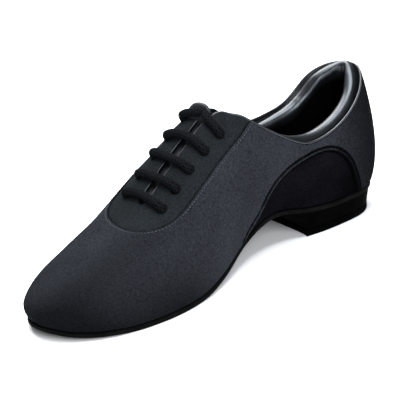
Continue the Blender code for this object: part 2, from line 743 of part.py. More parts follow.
def stand_over_origin(parts):
    """Hangs the parts on an empty that puts the middle of their box over the origin."""
    bpy.context.view_layer.update()
    shown = bpy.context.evaluated_depsgraph_get()
    corners = []
    for part in parts:
        seen = part.evaluated_get(shown).to_mesh()
        points = np.empty(len(seen.vertices) * 3)
        seen.vertices.foreach_get("co", points)
        corners.append(points.reshape(-1, 3))
    box = np.concatenate(corners)
    middle = (box.min(0) + box.max(0)) / 2
    shoe = bpy.data.objects.new("shoe", None)
    shoe.location = (-middle[0], -middle[1], 0)
    bpy.context.scene.collection.objects.link(shoe)
    for part in parts:
        part.parent = shoe
    bpy.context.view_layer.update()


def main():
    """Builds the whole shoe."""
    for old in list(bpy.data.objects):
        bpy.data.objects.remove(old)
    parts = bpy.data.collections.new("ballroom_shoe")
    bpy.context.scene.collection.children.link(parts)
    make_upper()
    make_outsole()
    make_insole()
    make_tongue()
    make_heel()
    make_heel_lift()
    make_edge_binding()
    make_collar_padding()
    make_laces()
    stand_over_origin(list(parts.objects))


if __name__ == "__main__":
    main()
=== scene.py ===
"""The looks of a low-heeled lace-up dance shoe for the right foot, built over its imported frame.

Metres, +Z up, the toe points to -Y and the inner side to +X. One form, a last, gives every curved piece its
shape. A place on the form has a share of the shoe's length and a turn, from 1 at the inner feather edge
over 0 at the ridge to -1 at the outer feather edge. Surfaces are grids of such places, moved in or out
along the form's outward direction by a height.
"""

import math

import bpy
import numpy as np
from bpy.props import FloatProperty, FloatVectorProperty, IntProperty, PointerProperty
from mathutils import Matrix, Vector


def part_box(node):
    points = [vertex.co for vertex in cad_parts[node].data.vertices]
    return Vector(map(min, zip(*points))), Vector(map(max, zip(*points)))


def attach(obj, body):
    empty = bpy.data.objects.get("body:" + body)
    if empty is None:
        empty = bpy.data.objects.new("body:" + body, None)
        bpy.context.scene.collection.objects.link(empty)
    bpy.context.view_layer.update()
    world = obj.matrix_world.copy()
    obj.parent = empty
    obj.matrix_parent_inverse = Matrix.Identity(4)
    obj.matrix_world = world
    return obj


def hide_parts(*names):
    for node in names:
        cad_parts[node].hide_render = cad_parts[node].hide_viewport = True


bl_info = {
    "name": "Ballroom dance shoe",
    "version": (1, 0, 0),
    "blender": (4, 5, 0),
    "location": "3D View > Sidebar > Dance Shoe",
    "description": "Builds the fabric, leather, laces, sole and heel of a dance shoe over its frame",
    "category": "Object",
}

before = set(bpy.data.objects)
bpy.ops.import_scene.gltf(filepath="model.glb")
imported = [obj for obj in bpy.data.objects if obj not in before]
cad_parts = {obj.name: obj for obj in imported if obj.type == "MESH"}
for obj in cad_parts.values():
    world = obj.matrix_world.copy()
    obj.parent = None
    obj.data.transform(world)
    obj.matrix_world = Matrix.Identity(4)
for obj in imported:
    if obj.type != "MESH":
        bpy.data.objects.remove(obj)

# Sizes of the form
LENGTH = 0.285
BALL_WIDTH = 0.0925
INSTEP_HEIGHT = 0.0935
SIDE_SWELL = 0.007
HEEL_BULGE = 0.0070
TOE_TUCK = 0.0045
NOSE_HEIGHT = 0.012
SEAT_RISE = 0.0152
ARCH_LIFT = 0.0085
TOE_SPRING = 0.0054

# Sizes of the upper and what is on it
COLLAR_HEIGHT = 0.0765
WALL = 0.0022
PANEL_STEP = 0.0008
SLIT = 0.0082
FACING_REACH = 0.0314
ARCH_HEIGHT = 0.037
OUTER_DROP = 0.15

# Laces
LACE_SPREAD = 0.0362
LACE_ROWS = 5
FIRST_LACE = 0.6475
LAST_LACE = 0.4625
LACE_BEND = 0.0022
LACE_DEPTH = 0.0050

# Tongue, sole and heel
TONGUE_FRONT = 0.675
TONGUE_BACK = 0.434
TONGUE_LIFT = 0.0068
TONGUE_LEAN = 0.0055
SOLE_THICKNESS = 0.0030
SOLE_MARGIN = 0.0010
HEEL_LENGTH = 0.0725
HEEL_INSET = 0.0008
HEEL_TAPER = 0.0045
BREAST_SLOPE = 0.0190
BREAST_HOLLOW = 0.0016
LIFT_THICKNESS = 0.0050
GAP = 0.0003
SOFT_GAP = 0.0008

SEAT_HEIGHT = SOLE_THICKNESS + GAP + SEAT_RISE

# The form's cross sections. Rise is a share of SEAT_RISE, arch of ARCH_LIFT, spring of TOE_SPRING, inner,
# outer and ridge of BALL_WIDTH, swell of SIDE_SWELL and height of INSTEP_HEIGHT. Fullness is the roundness.
SECTION_COLUMNS = "share rise arch spring inner outer ridge swell height fullness".split()
SECTIONS = (
    (0.000, 1.000, 0.00, 0.00, 0.000, 0.000, 0.000, 0.43, 1.011, 0.95),
    (0.015, 1.000, 0.00, 0.00, 0.160, 0.160, 0.000, 0.50, 1.011, 0.95),
    (0.060, 1.000, 0.00, 0.00, 0.284, 0.276, 0.000, 0.57, 1.011, 0.92),
    (0.140, 0.985, 0.00, 0.00, 0.319, 0.309, 0.000, 0.57, 1.018, 0.88),
    (0.240, 0.940, 0.30, 0.00, 0.298, 0.323, 0.000, 0.64, 1.031, 0.85),
    (0.340, 0.800, 1.00, 0.00, 0.246, 0.350, 0.000, 0.86, 1.022, 0.82),
    (0.440, 0.540, 0.63, 0.00, 0.292, 0.394, -0.024, 1.00, 0.941, 0.82),
    (0.540, 0.180, 0.25, 0.00, 0.415, 0.449, -0.040, 0.86, 0.789, 0.82),
    (0.640, 0.020, 0.00, 0.00, 0.512, 0.478, -0.012, 0.71, 0.603, 0.80),
    (0.720, 0.000, 0.00, 0.00, 0.541, 0.457, 0.030, 0.64, 0.471, 0.76),
    (0.800, 0.000, 0.00, 0.00, 0.522, 0.410, 0.058, 0.57, 0.375, 0.72),
    (0.880, 0.000, 0.00, 0.19, 0.459, 0.322, 0.068, 0.50, 0.293, 0.68),
    (0.950, 0.000, 0.00, 0.48, 0.337, 0.186, 0.069, 0.36, 0.212, 0.66),
    (0.985, 0.000, 0.00, 0.80, 0.212, 0.076, 0.069, 0.21, 0.138, 0.66),
    (1.000, 0.000, 0.00, 1.00, 0.068, -0.068, 0.068, 0.07, 0.000, 0.66),
)
SECTION_UNITS = (1, SEAT_RISE, ARCH_LIFT, TOE_SPRING, *(BALL_WIDTH,) * 3, SIDE_SWELL, INSTEP_HEIGHT, 1)
STEADY_COLUMNS = ("rise", "arch", "spring", "swell", "fullness")

# The fabric's topline from the back to the facing on the inner and the outer side: share of length, and
# height over the seat as a share of COLLAR_HEIGHT. The padded roll stands over it.
INNER_TOPLINE = (
    (0.000, 0.985),
    (0.020, 0.950),
    (0.048, 0.888),
    (0.075, 0.820),
    (0.113, 0.732),
    (0.145, 0.675),
    (0.195, 0.617),
    (0.245, 0.605),
    (0.300, 0.698),
    (0.345, 0.828),
)
OUTER_TOPLINE = (
    (0.000, 0.985),
    (0.020, 0.980),
    (0.048, 0.950),
    (0.075, 0.900),
    (0.100, 0.815),
    (0.130, 0.715),
    (0.160, 0.662),
    (0.195, 0.637),
    (0.253, 0.628),
    (0.319, 0.758),
    (0.352, 0.864),
)

# The facing's seam from the topline round under the laces: share, and half its width as a share of
# FACING_REACH
FACING = (
    (0.384, 0.655),
    (0.425, 0.761),
    (0.476, 0.863),
    (0.536, 0.955),
    (0.596, 1.000),
    (0.642, 0.965),
    (0.693, 0.720),
    (0.717, 0.380),
    (0.724, 0.000),
)

# The facing's top edge from the seam to the slit, and the slit: share, reach as above, and share of SLIT
THROAT = (
    (0.404, 0.540, 0.0),
    (0.422, 0.400, 0.0),
    (0.438, 0.210, 0.0),
    (0.462, 0.000, 0.5),
    (0.520, 0.000, 0.5),
    (0.580, 0.000, 0.5),
    (0.640, 0.000, 0.5),
    (0.6585, 0.000, 0.36),
    (0.6635, 0.000, 0.0),
)

# The seam over the arch panel, from the waist to the heel: share, and height over the feather as of
# ARCH_HEIGHT
ARCH = (
    (0.445, 0.000),
    (0.417, 0.090),
    (0.396, 0.150),
    (0.362, 0.370),
    (0.309, 0.740),
    (0.248, 0.985),
    (0.177, 0.995),
    (0.134, 0.700),
    (0.110, 0.230),
    (0.100, 0.000),
)

# The form's arc and turn, stretched to about real size: the pattern plane
PATTERN = np.array([0.300, 0.105])

# Fold, groove and fine rows next to a seam, as distances from it in metres
SEAM_ROWS = np.array([0, 0.08, 0.22, 0.42, 0.70, 1.05, 1.4, 1.7, 1.95, 2.2, 2.5, 2.9, 3.6, 4.8]) * 0.001

# Spacing of the points of seam lines, of those that distances are measured to, and of the bead's rings
LINE_STEP = 0.0005
FINE_STEP = 0.0004
BEAD_STEP = 0.0007

# Radius of the feather edge, thickness of the facing, a groove's width, and over the arch panel the distance
# of the raised hem's middle from the seam, its width, and the distance of its groove
FEATHER_FOLD = 0.0008
FACING_WALL = 0.0009
GROOVE_WIDTH = 0.00042
HEM_MIDDLE = 0.0013
HEM_WIDTH = 0.0009
HEM_GROOVE = 0.0029

# Small step of arc or turn that slopes are taken over
SLOPE_STEP = 1e-3


# Curves and the form


def smooth_curve(knots, values, at):
    """The cubic curve through the knots whose bend has no jump, from a linear system for its bends."""
    x = np.asarray(knots, float)
    y = np.asarray(values, float)
    step = np.diff(x)
    slope = np.diff(y) / step
    system = np.eye(len(x))
    right = np.zeros(len(x))
    for i in range(1, len(x) - 1):
        system[i, i - 1 : i + 2] = step[i - 1], 2 * (step[i - 1] + step[i]), step[i]
        right[i] = 6 * (slope[i] - slope[i - 1])
    bend = np.linalg.solve(system, right)
    k = np.clip(np.searchsorted(x, at) - 1, 0, len(x) - 2)
    t = at - x[k]
    start = slope[k] - step[k] * (2 * bend[k] + bend[k + 1]) / 6
    return y[k] + t * (start + t * (bend[k] / 2 + t * (bend[k + 1] - bend[k]) / (6 * step[k])))


def steady_curve(knots, values, at):
    """A curve through the knots that never swings past them: cubic pieces, harmonic means of slopes."""
    x = np.asarray(knots, float)
    y = np.asarray(values, float)
    step = np.diff(x)
    slope = np.diff(y) / step
    same_way = slope[:-1] * slope[1:] > 0
    weight_a = 2 * step[1:] + step[:-1]
    weight_b = step[1:] + 2 * step[:-1]
    safe = np.where(same_way, slope[:-1], 1.0), np.where(same_way, slope[1:], 1.0)
    inner = (weight_a + weight_b) / (weight_a / safe[0] + weight_b / safe[1])
    turn = np.concatenate([slope[:1], np.where(same_way, inner, 0.0), slope[-1:]])
    k = np.clip(np.searchsorted(x, at) - 1, 0, len(x) - 2)
    t = (at - x[k]) / step[k]
    rest = 1 - t
    ends = y[k] * rest**2 * (1 + 2 * t) + y[k + 1] * t**2 * (3 - 2 * t)
    return ends + step[k] * t * rest * (turn[k] * rest - turn[k + 1] * t)


def ease(value):
    """0 below 0, 1 above 1 and a soft step between: three squares less two cubes."""
    t = np.clip(value, 0, 1)
    return t * t * (3 - 2 * t)


def arc_of(share):
    """Share of length turned into an even walk along the outline: arc cosine of 1 - 2 share, over pi."""
    return np.arccos(np.clip(1 - 2 * np.asarray(share, float), -1, 1)) / math.pi


def share_of(arc):
    """The reverse of arc_of."""
    return (1 - np.cos(math.pi * np.asarray(arc, float))) / 2


def column(table, number):
    """One column of a table."""
    return np.array([row[number] for row in table], float)


def section(arc):
    """The form's cross section at each place along it: every column of the table as a real size."""
    knots = arc_of(column(SECTIONS, 0))
    found = {}
    for number, (name, unit) in enumerate(zip(SECTION_COLUMNS, SECTION_UNITS)):
        curve = steady_curve if name in STEADY_COLUMNS else smooth_curve
        found[name] = unit * curve(knots, column(SECTIONS, number), arc)
    found["bottom"] = SOLE_THICKNESS + GAP + found["rise"] + found["spring"]
    return found


def place(arc, turn):
    """Points on the form. Across a section, x is the reach times cosine to the fullness plus a side swell,
    and z the height times sine. The heel's back bulges and the nose is tucked in. Past an end the walk
    turns back."""
    arc, turn = np.broadcast_arrays(np.asarray(arc, float), np.asarray(turn, float))
    past = (arc < 0) | (arc > 1)
    turn = np.where(past, -turn, turn)
    arc = np.where(arc < 0, -arc, np.where(arc > 1, 2 - arc, arc))
    cut = section(arc)
    side = np.where(turn < 0, -1.0, 1.0)
    angle = (1 - np.abs(turn)) * math.pi / 2
    rise = np.clip(np.sin(angle), 0, 1)
    level = np.clip(np.cos(angle), 0, 1)
    reach = np.where(side > 0, cut["inner"], -cut["outer"]) - cut["ridge"]
    swell = cut["swell"] * (1 - (1 - np.sin(math.pi * arc)) ** 3) * 2 * rise * level
    x = cut["ridge"] + reach * level ** cut["fullness"] + side * swell
    z = cut["bottom"] + cut["height"] * rise + np.where(side > 0, cut["arch"], 0) * level**3 * np.abs(turn)
    share = share_of(arc)
    back_height = np.clip((z - cut["bottom"]) / COLLAR_HEIGHT, 0, 1)
    bulge = HEEL_BULGE * np.sin(math.pi * back_height**0.6) * np.clip(1 - share / 0.22, 0, 1) ** 2
    y = -(LENGTH * share - bulge)
    low = np.clip(1 - (z - cut["bottom"]) / NOSE_HEIGHT, 0, 1) ** 2
    tuck = TOE_TUCK * low * np.clip((share - 0.8) / 0.2, 0, 1) ** 2
    away_x = x - cut["ridge"]
    away_y = y + LENGTH * 0.86
    away = np.hypot(away_x, away_y) + 1e-9
    return np.stack([x - tuck * away_x / away, y - tuck * away_y / away, z], -1)


def unit(vectors):
    """The same directions with length 1."""
    return vectors / (np.linalg.norm(vectors, axis=-1, keepdims=True) + 1e-12)


def split(flat):
    """Arcs and turns of places in the pattern plane."""
    return np.moveaxis(flat / PATTERN, -1, 0)


def walked(points):
    """How far along a line each of its points lies: the running sum of the steps' lengths."""
    return np.concatenate([[0], np.cumsum(np.linalg.norm(np.diff(points, axis=0), axis=1))])


def lifted(arc, turn, height):
    """Points at a height over the form's surface."""
    return place(arc, turn) + height[..., None] * outward(arc, turn)


def power(value, exponent):
    """A power that keeps the sign of its base."""
    return np.sign(value) * np.abs(value) ** exponent


def repeated(rows, before, after=0):
    """Rows with the first and the last one repeated, for the edges that are turned under."""
    return np.concatenate([rows[:1]] * before + [rows] + [rows[-1:]] * after)


def outward(arc, turn):
    """Unit vectors that point out of the form: the cross product of its slopes upwards and along."""
    arc, turn = np.broadcast_arrays(np.asarray(arc, float), np.asarray(turn, float))
    small = SLOPE_STEP
    along = place(arc + small, turn) - place(arc - small, turn)
    up = place(arc, np.clip(turn - small, -1, 1)) - place(arc, np.clip(turn + small, -1, 1))
    normal = np.cross(up, along)
    normal[..., 0] = np.where(arc < small, 0.0, normal[..., 0])
    normal = np.where((arc > 1 - small)[..., None], (0.0, -1.0, 0.0), normal)
    return unit(normal)


def turn_at_height(arc, height):
    """The turn at which the form's inner side is a height over the feather edge."""
    return 1 - np.arcsin(np.clip(height / section(arc)["height"], 0, 1)) * 2 / math.pi


def turn_at_reach(arc, reach, side=1):
    """The turn at which the form's side is a true distance across from the ridge, found by halving."""
    arc, reach, side = np.broadcast_arrays(np.asarray(arc, float), np.abs(reach), side)
    ridge = section(arc)["ridge"]
    low = np.zeros(arc.shape)
    high = np.full(arc.shape, 0.8)
    for _ in range(30):
        middle = (low + high) / 2
        short = np.abs(place(arc, side * middle)[..., 0] - ridge) < reach
        low = np.where(short, middle, low)
        high = np.where(short, high, middle)
    return side * np.where(reach > 0, (low + high) / 2, 0.0)


# Seam lines in the pattern plane


def through(points, start, end, spacing, mirror_start=None, mirror_end=None):
    """Evenly spaced points of a smooth curve through listed places in the pattern plane. A mirror, +1 or -1
    for each axis, continues the curve past an end by its own reflection there."""
    rows = np.asarray(points, float) * PATTERN
    first, last = start, end
    if mirror_start is not None:
        rows = np.concatenate([(rows[2:0:-1] - rows[0]) * mirror_start + rows[0], rows])
        first, last = first + 2, last + 2
    if mirror_end is not None:
        rows = np.concatenate([rows, (rows[-2:-4:-1] - rows[-1]) * mirror_end + rows[-1]])
    walk = walked(rows)
    count = max(2, round((walk[last] - walk[first]) / spacing))
    at = np.linspace(walk[first], walk[last], count + 1)
    return np.stack([smooth_curve(walk, rows[:, i], at) for i in (0, 1)], 1)


def facing_turn(arc, reach, side):
    """The turn of a place on the facing from its reach on the inner side. The outer side lies further
    down."""
    return side * turn_at_reach(arc, reach * FACING_REACH) * (1 if side > 0 else 1 + OUTER_DROP)


def rim_line(side, spacing):
    """The rim on one side in two runs, the topline and the throat, that meet where the facing's seam
    starts."""
    topline = INNER_TOPLINE if side > 0 else OUTER_TOPLINE
    arcs = arc_of(column(topline, 0))
    heights = SEAT_HEIGHT + column(topline, 1) * COLLAR_HEIGHT - section(arcs)["bottom"]
    back = np.stack([arcs, side * turn_at_height(arcs, heights)], 1)
    front = np.array([(*FACING[0], 0), *THROAT])
    arcs = arc_of(front[:, 0])
    turns = facing_turn(arcs, front[:, 1], side) + turn_at_reach(arcs, front[:, 2] * SLIT, side)
    rows = np.concatenate([back, np.stack([arcs, turns], 1)])
    corner = len(back)
    mirrors = {"mirror_start": (-1, 1), "mirror_end": (1, -1)}
    spans = ((0, corner), (corner, len(rows) - 1))
    return tuple(through(rows, *span, spacing, **mirrors) for span in spans)


def facing_line(side, spacing):
    """The facing's seam on one side, from the topline to the ridge."""
    arcs = arc_of(column(FACING, 0))
    rows = np.stack([arcs, facing_turn(arcs, column(FACING, 1), side)], 1)
    return through(rows, 0, len(rows) - 1, spacing, mirror_end=(1, -1))


def arch_line(side, spacing):
    """The seam over the arch panel on one side, from the waist to the heel."""
    arcs = arc_of(column(ARCH, 0))
    rows = np.stack([arcs, side * turn_at_height(arcs, column(ARCH, 1) * ARCH_HEIGHT)], 1)
    return through(rows, 0, len(rows) - 1, spacing)


def straight(a, b, count=60):
    """Evenly spaced points between two places in the pattern plane, both ends included."""
    a, b = np.asarray(a, float), np.asarray(b, float)
    return a + np.linspace(0, 1, count + 1)[:, None] * (b - a)


def stations(line, shares, steps, count):
    """Points along a line of the pattern plane. Listed shares of length are met at listed steps of 0 to 1,
    and a steady curve spaces the points between them."""
    walk = walked(line)
    met = np.interp(arc_of(shares), line[:, 0] / PATTERN[0], walk)
    met[0], met[-1] = 0, walk[-1]
    at = steady_curve(steps, met, np.linspace(0, 1, count))
    return np.stack([np.interp(at, walk, line[:, i]) for i in (0, 1)], 1)


def lace_places():
    """Arc of each lace row, first by the toe, and the turns of its inner and outer hole."""
    rows = []
    for share in np.linspace(FIRST_LACE, LAST_LACE, LACE_ROWS):
        arc = float(arc_of(share))
        turns = [float(turn_at_reach(arc, LACE_SPREAD / 2, side)) for side in (1, -1)]
        rows.append((arc, *turns))
    return rows


def distance_to(points, line):
    """Distance of each point from the nearest point of a line of the pattern plane, both on the form."""
    seam = place(*split(line))
    flat = points.reshape(-1, 3)
    near = np.concatenate(
        [np.sqrt(((part[:, None] - seam[None]) ** 2).sum(-1).min(1)) for part in np.array_split(flat, 24)]
    )
    return near.reshape(points.shape[:-1])


# Meshes


def grid(points, flip=False, uv=None):
    """A grid of points with its own flat coordinates, ready to be joined. Flip turns its faces over."""
    if uv is None:
        rows, columns = points.shape[:2]
        uv = np.stack(np.meshgrid(np.arange(rows), np.arange(columns), indexing="ij"), -1) * 0.001
    return points, np.broadcast_to(uv, (*points.shape[:2], 2)), flip


def pattern_uv(arc, turn):
    """Flat coordinates of about real size from places on the form."""
    return np.stack(np.broadcast_arrays(arc, turn), -1) * PATTERN


def ring_uv(rings):
    """Flat coordinates of a tube: once round it from 0 to 1, and along it in metres."""
    walk = walked(rings[:, :-1].mean(1))
    around = np.linspace(0, 1, rings.shape[1])
    return np.stack(np.broadcast_arrays(around[None], walk[:, None]), -1)


def tube_grid(rings, flip=False):
    """The grid of a tube from its rings, each of them closed."""
    rings[:, -1] = rings[:, 0]
    return grid(rings, flip, ring_uv(rings))


def joined(grids, drop=None):
    """Points, flat coordinates and faces of several grids as one. Points in the same place become one, faces
    that lose a corner become triangles, and those that lose more are left out."""
    points, flats, faces = [], [], []
    start = 0
    for shape, uv, flip in grids:
        rows, columns = shape.shape[:2]
        index = start + np.arange(rows * columns).reshape(rows, columns)
        corners = [index[:-1, :-1], index[1:, :-1], index[1:, 1:], index[:-1, 1:]]
        quads = np.stack(corners, -1).reshape(-1, 4)
        faces.append(quads[:, ::-1] if flip else quads)
        points.append(shape.reshape(-1, 3))
        flats.append(uv.reshape(-1, 2))
        start += rows * columns
    points, flats, faces = (np.concatenate(part) for part in (points, flats, faces))
    if drop is not None:
        faces = faces[~drop[faces].all(1)]
    keys = np.round(points * 5e5).astype(np.int64)
    _, first, number = np.unique(keys, axis=0, return_index=True, return_inverse=True)
    number = number.reshape(-1)
    welded = number[faces]
    same = welded == np.roll(welded, -1, axis=1)
    crossed = (welded[:, 0] == welded[:, 2]) | (welded[:, 1] == welded[:, 3])
    whole = (same.sum(1) == 0) & ~crossed
    three = (same.sum(1) == 1) & ~crossed
    keep = ~same[three]
    quads, quad_flats = welded[whole], flats[faces[whole]].reshape(-1, 2)
    threes, three_flats = welded[three][keep].reshape(-1, 3), flats[faces[three][keep]]
    return points, first, quads, threes, np.concatenate([quad_flats, three_flats])


def new_piece(name, grids, look, nodes=(), values=None, drop=None, thickness=0.0):
    """An object of joined grids in the shoe's place, with its look, a material's name, and its frame nodes.
    Values are named numbers for every point. A thickness is added inwards by a Solidify modifier."""
    points, first, quads, threes, flats = joined(grids, drop)
    mesh = bpy.data.meshes.new(name)
    mesh.from_pydata((points[first] + shoe_shift()).tolist(), [], [*quads.tolist(), *threes.tolist()])
    layer = mesh.uv_layers.new(name="pattern")
    layer.data.foreach_set("uv", flats.astype(np.float32).ravel())
    for label, numbers in (values or {}).items():
        layer = mesh.attributes.new(label, "FLOAT", "POINT")
        layer.data.foreach_set("value", np.asarray(numbers, np.float32).ravel()[first])
    mesh.shade_smooth()
    mesh.update()
    piece = bpy.data.objects.new(name, mesh)
    bpy.context.scene.collection.objects.link(piece)
    mesh.materials.append(bpy.data.materials[look])
    if thickness:
        solid = piece.modifiers.new("thickness", "SOLIDIFY")
        solid.thickness = thickness
        solid.offset = -1
    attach(piece, "root")
    if nodes:
        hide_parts(*nodes)
    return piece


def shoe_shift():
    """What moves the form into place: its back and its widest inner edge go to those of the outsole."""
    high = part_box("outsole")[1]
    arcs = np.linspace(0, 1, 44)
    rows = sole_edges(arcs, sole_margin(arcs))
    return np.array([high[0] - rows[..., 0].max(), high[1], 0])


def rings_round(path, first, second, radius, around):
    """Rings of points round a path: its radius times the cosine along the first and the sine along the second
    directions. A ring shrinks to a point where the radius is 0."""
    angles = np.linspace(0, 2 * math.pi, around + 1)[None, :, None]
    circle = np.cos(angles) * first[:, None] + np.sin(angles) * second[:, None]
    return path[:, None] + radius[:, None, None] * circle


# Materials


def feed(tree, socket, value):
    """Sets a socket to a value, or links it to another node's socket."""
    if isinstance(value, bpy.types.NodeSocket):
        tree.links.new(value, socket)
    else:
        socket.default_value = value


def add_node(tree, kind, inputs=None, **settings):
    """A shader node of a kind with its settings, and its inputs by name or number."""
    node = tree.nodes.new("ShaderNode" + kind)
    for name, value in settings.items():
        setattr(node, name, value)
    for name, value in (inputs or {}).items():
        feed(tree, node.inputs[name], value)
    return node


def calculate(tree, operation, a, b=0.0, c=0.0):
    """The result of a Math node."""
    return add_node(tree, "Math", {0: a, 1: b, 2: c}, operation=operation).outputs[0]


def on_vectors(tree, operation, inputs):
    """The result of a Vector Math node."""
    return add_node(tree, "VectorMath", inputs, operation=operation).outputs[0]


def noise(tree, vector, scale, detail, distortion=0.0):
    """The outputs of a Noise Texture."""
    inputs = {"Vector": vector, "Scale": scale, "Detail": detail, "Distortion": distortion}
    return add_node(tree, "TexNoise", inputs).outputs


def new_group(name, inputs, outputs):
    """A node group. Its inputs are numbers with a default, or a vector where that is None, and its outputs
    are numbers. Returns the tree, its input node's outputs and its output node's inputs."""
    tree = bpy.data.node_groups.new(name, "ShaderNodeTree")
    for label, default in inputs.items():
        kind = "NodeSocketVector" if default is None else "NodeSocketFloat"
        socket = tree.interface.new_socket(name=label, in_out="INPUT", socket_type=kind)
        if default is not None:
            socket.default_value = default
    for label in outputs:
        tree.interface.new_socket(name=label, in_out="OUTPUT", socket_type="NodeSocketFloat")
    return tree, tree.nodes.new("NodeGroupInput").outputs, tree.nodes.new("NodeGroupOutput").inputs


def use_group(tree, name, inputs):
    """The outputs of a node that uses one of the groups."""
    return add_node(tree, "Group", inputs, node_tree=bpy.data.node_groups[name]).outputs


def make_weave_group():
    """Fine threads: products of sines along three tilted axes, broken up by noise. Gives a height of about -1
    to 1, a mask of about 0 to 1 that follows the height, painted light on the raised threads and painted
    shade between them, and a coarser speckle of -0.5 to 0.5."""
    inputs = {"Vector": None, "Threads": 1500.0, "Fuzz": 0.5}
    tree, given, wanted = new_group("fine weave", inputs, ("Height", "Light", "Speckle"))
    where, threads = given["Vector"], given["Threads"]
    full_turn = (6.2832,) * 3
    tilt = {"Vector": where, "Rotation": (0.6, 0.35, 0.8)}
    turned = add_node(tree, "VectorRotate", tilt, rotation_type="EULER_XYZ").outputs[0]
    wobble = noise(tree, where, 90.0, 1.0)["Color"]
    shifted = on_vectors(tree, "MULTIPLY_ADD", {0: wobble, 1: (0.0016,) * 3, 2: turned})
    counted = on_vectors(tree, "SCALE", {0: shifted, "Scale": threads})
    rounded = on_vectors(tree, "MULTIPLY", {0: counted, 1: full_turn})
    x, y, z = add_node(tree, "SeparateXYZ", {0: on_vectors(tree, "SINE", {0: rounded})}).outputs
    crossed = calculate(tree, "MULTIPLY", x, y)
    crossed = calculate(tree, "MULTIPLY_ADD", y, z, crossed)
    crossed = calculate(tree, "MULTIPLY_ADD", z, x, crossed)
    fluff = noise(tree, where, calculate(tree, "MULTIPLY", threads, 1.7), 2.0)["Fac"]
    fluff = calculate(tree, "MULTIPLY", calculate(tree, "SUBTRACT", fluff, 0.5), 3.0)
    height = calculate(tree, "MULTIPLY_ADD", fluff, given["Fuzz"], crossed)
    speckle = noise(tree, where, calculate(tree, "MULTIPLY", threads, 0.62), 1.0)["Fac"]
    tree.links.new(height, wanted["Height"])
    # Painted light on the raised threads and painted shade between them
    tree.links.new(calculate(tree, "MULTIPLY_ADD", height, 0.35, 0.5), wanted["Light"])
    tree.links.new(calculate(tree, "SUBTRACT", speckle, 0.5), wanted["Speckle"])


def make_grain_group():
    """Leather grain: small cells with soft borders and broad creases. Gives a height and a worn mask."""
    inputs = {"Vector": None, "Cells": 1100.0, "Creases": 0.6}
    tree, given, wanted = new_group("leather grain", inputs, ("Height", "Worn"))
    spots = {"Vector": given["Vector"], "Scale": given["Cells"]}
    cells = add_node(tree, "TexVoronoi", spots, feature="SMOOTH_F1").outputs["Distance"]
    broad = noise(tree, given["Vector"], 140.0, 3.0, 1.2)["Fac"]
    folded = calculate(tree, "PINGPONG", calculate(tree, "MULTIPLY", broad, 3.0), 0.5)
    crease = calculate(tree, "MULTIPLY", folded, given["Creases"])
    tree.links.new(calculate(tree, "MULTIPLY_ADD", cells, -0.12, crease), wanted["Height"])
    tree.links.new(broad, wanted["Worn"])


def make_braid_group():
    """A round braid: two sets of strands that run round the cord in opposite ways, the higher of the two on
    top. Its light output, from the height, is painted light on the strands' tops and painted shade in the
    valleys. The flat coordinates are once round from 0 to 1, and along in metres."""
    inputs = {"Vector": None, "Strands": 8.0, "Pitch": 700.0}
    tree, given, wanted = new_group("round braid", inputs, ("Height", "Light"))
    around, along, _ = add_node(tree, "SeparateXYZ", {0: given["Vector"]}).outputs
    around = calculate(tree, "MULTIPLY", around, given["Strands"])
    along = calculate(tree, "MULTIPLY", along, given["Pitch"])
    strands = []
    for way in ("ADD", "SUBTRACT"):
        phase = calculate(tree, "MULTIPLY", calculate(tree, way, around, along), math.pi)
        strands.append(calculate(tree, "ABSOLUTE", calculate(tree, "SINE", phase)))
    over = calculate(tree, "MULTIPLY", calculate(tree, "ADD", around, 0.25), 2 * math.pi)
    over = calculate(tree, "MULTIPLY", calculate(tree, "SINE", over), 0.25)
    height = calculate(tree, "SMOOTH_MAX", calculate(tree, "ADD", strands[0], over), strands[1], 0.1)
    fibre = noise(tree, given["Vector"], 9.0, 2.0)["Fac"]
    tree.links.new(calculate(tree, "MULTIPLY_ADD", fibre, 0.3, height), wanted["Height"])
    # Painted light on the strands' tops, painted shade in the valleys
    tree.links.new(calculate(tree, "POWER", height, 2.5), wanted["Light"])


def make_mottle_group():
    """Soft uneven patches, such as wear, dust or stretch: a noise brought to a range of two values."""
    inputs = {"Vector": None, "Size": 60.0, "Low": 0.0, "High": 1.0}
    tree, given, wanted = new_group("soft mottle", inputs, ("Value",))
    patches = noise(tree, given["Vector"], given["Size"], 4.0)["Fac"]
    span = {0: patches, 1: 0.3, 2: 0.7, 3: given["Low"], 4: given["High"]}
    ranged = add_node(tree, "MapRange", span, interpolation_type="SMOOTHSTEP")
    tree.links.new(ranged.outputs[0], wanted["Value"])


def make_seam_group():
    """Painted shade next to a seam from the distance to it in metres: full at the seam and gone past the
    reach."""
    inputs = {"Distance": 0.0, "Reach": 0.001, "Amount": 0.5}
    tree, given, wanted = new_group("seam shade", inputs, ("Shade",))
    share = calculate(tree, "DIVIDE", given["Distance"], given["Reach"])
    near = calculate(tree, "SUBTRACT", 1.0, add_node(tree, "Clamp", {0: share}).outputs[0])
    tree.links.new(calculate(tree, "MULTIPLY", near, given["Amount"]), wanted["Shade"])


def new_material(name):
    """A new material's node tree, its shader, and the object's coordinates."""
    material = bpy.data.materials.new(name)
    material.use_nodes = True
    tree = material.node_tree
    return tree, tree.nodes["Principled BSDF"], add_node(tree, "TexCoord").outputs["Object"]


def mixed(tree, factor, first, second):
    """A colour between two, by a factor."""
    return add_node(tree, "Mix", {0: factor, 6: (*first, 1), 7: (*second, 1)}, data_type="RGBA").outputs[2]


def patchy(tree, where, size, low, high):
    """A value that changes in soft patches."""
    return use_group(tree, "soft mottle", {"Vector": where, "Size": size, "Low": low, "High": high})["Value"]


def finish(tree, shader, colour, rough, bump, **constants):
    """Gives a shader its colour, its roughness and a bump with a height, a strength and a distance. Constants
    are its fixed values by socket name, with spaces as underscores."""
    relief = add_node(tree, "Bump", dict(zip(("Height", "Strength", "Distance"), bump))).outputs[0]
    for name, value in (("Base Color", colour), ("Roughness", rough), ("Normal", relief)):
        tree.links.new(value, shader.inputs[name])
    for name, value in constants.items():
        shader.inputs[name.replace("_", " ")].default_value = value


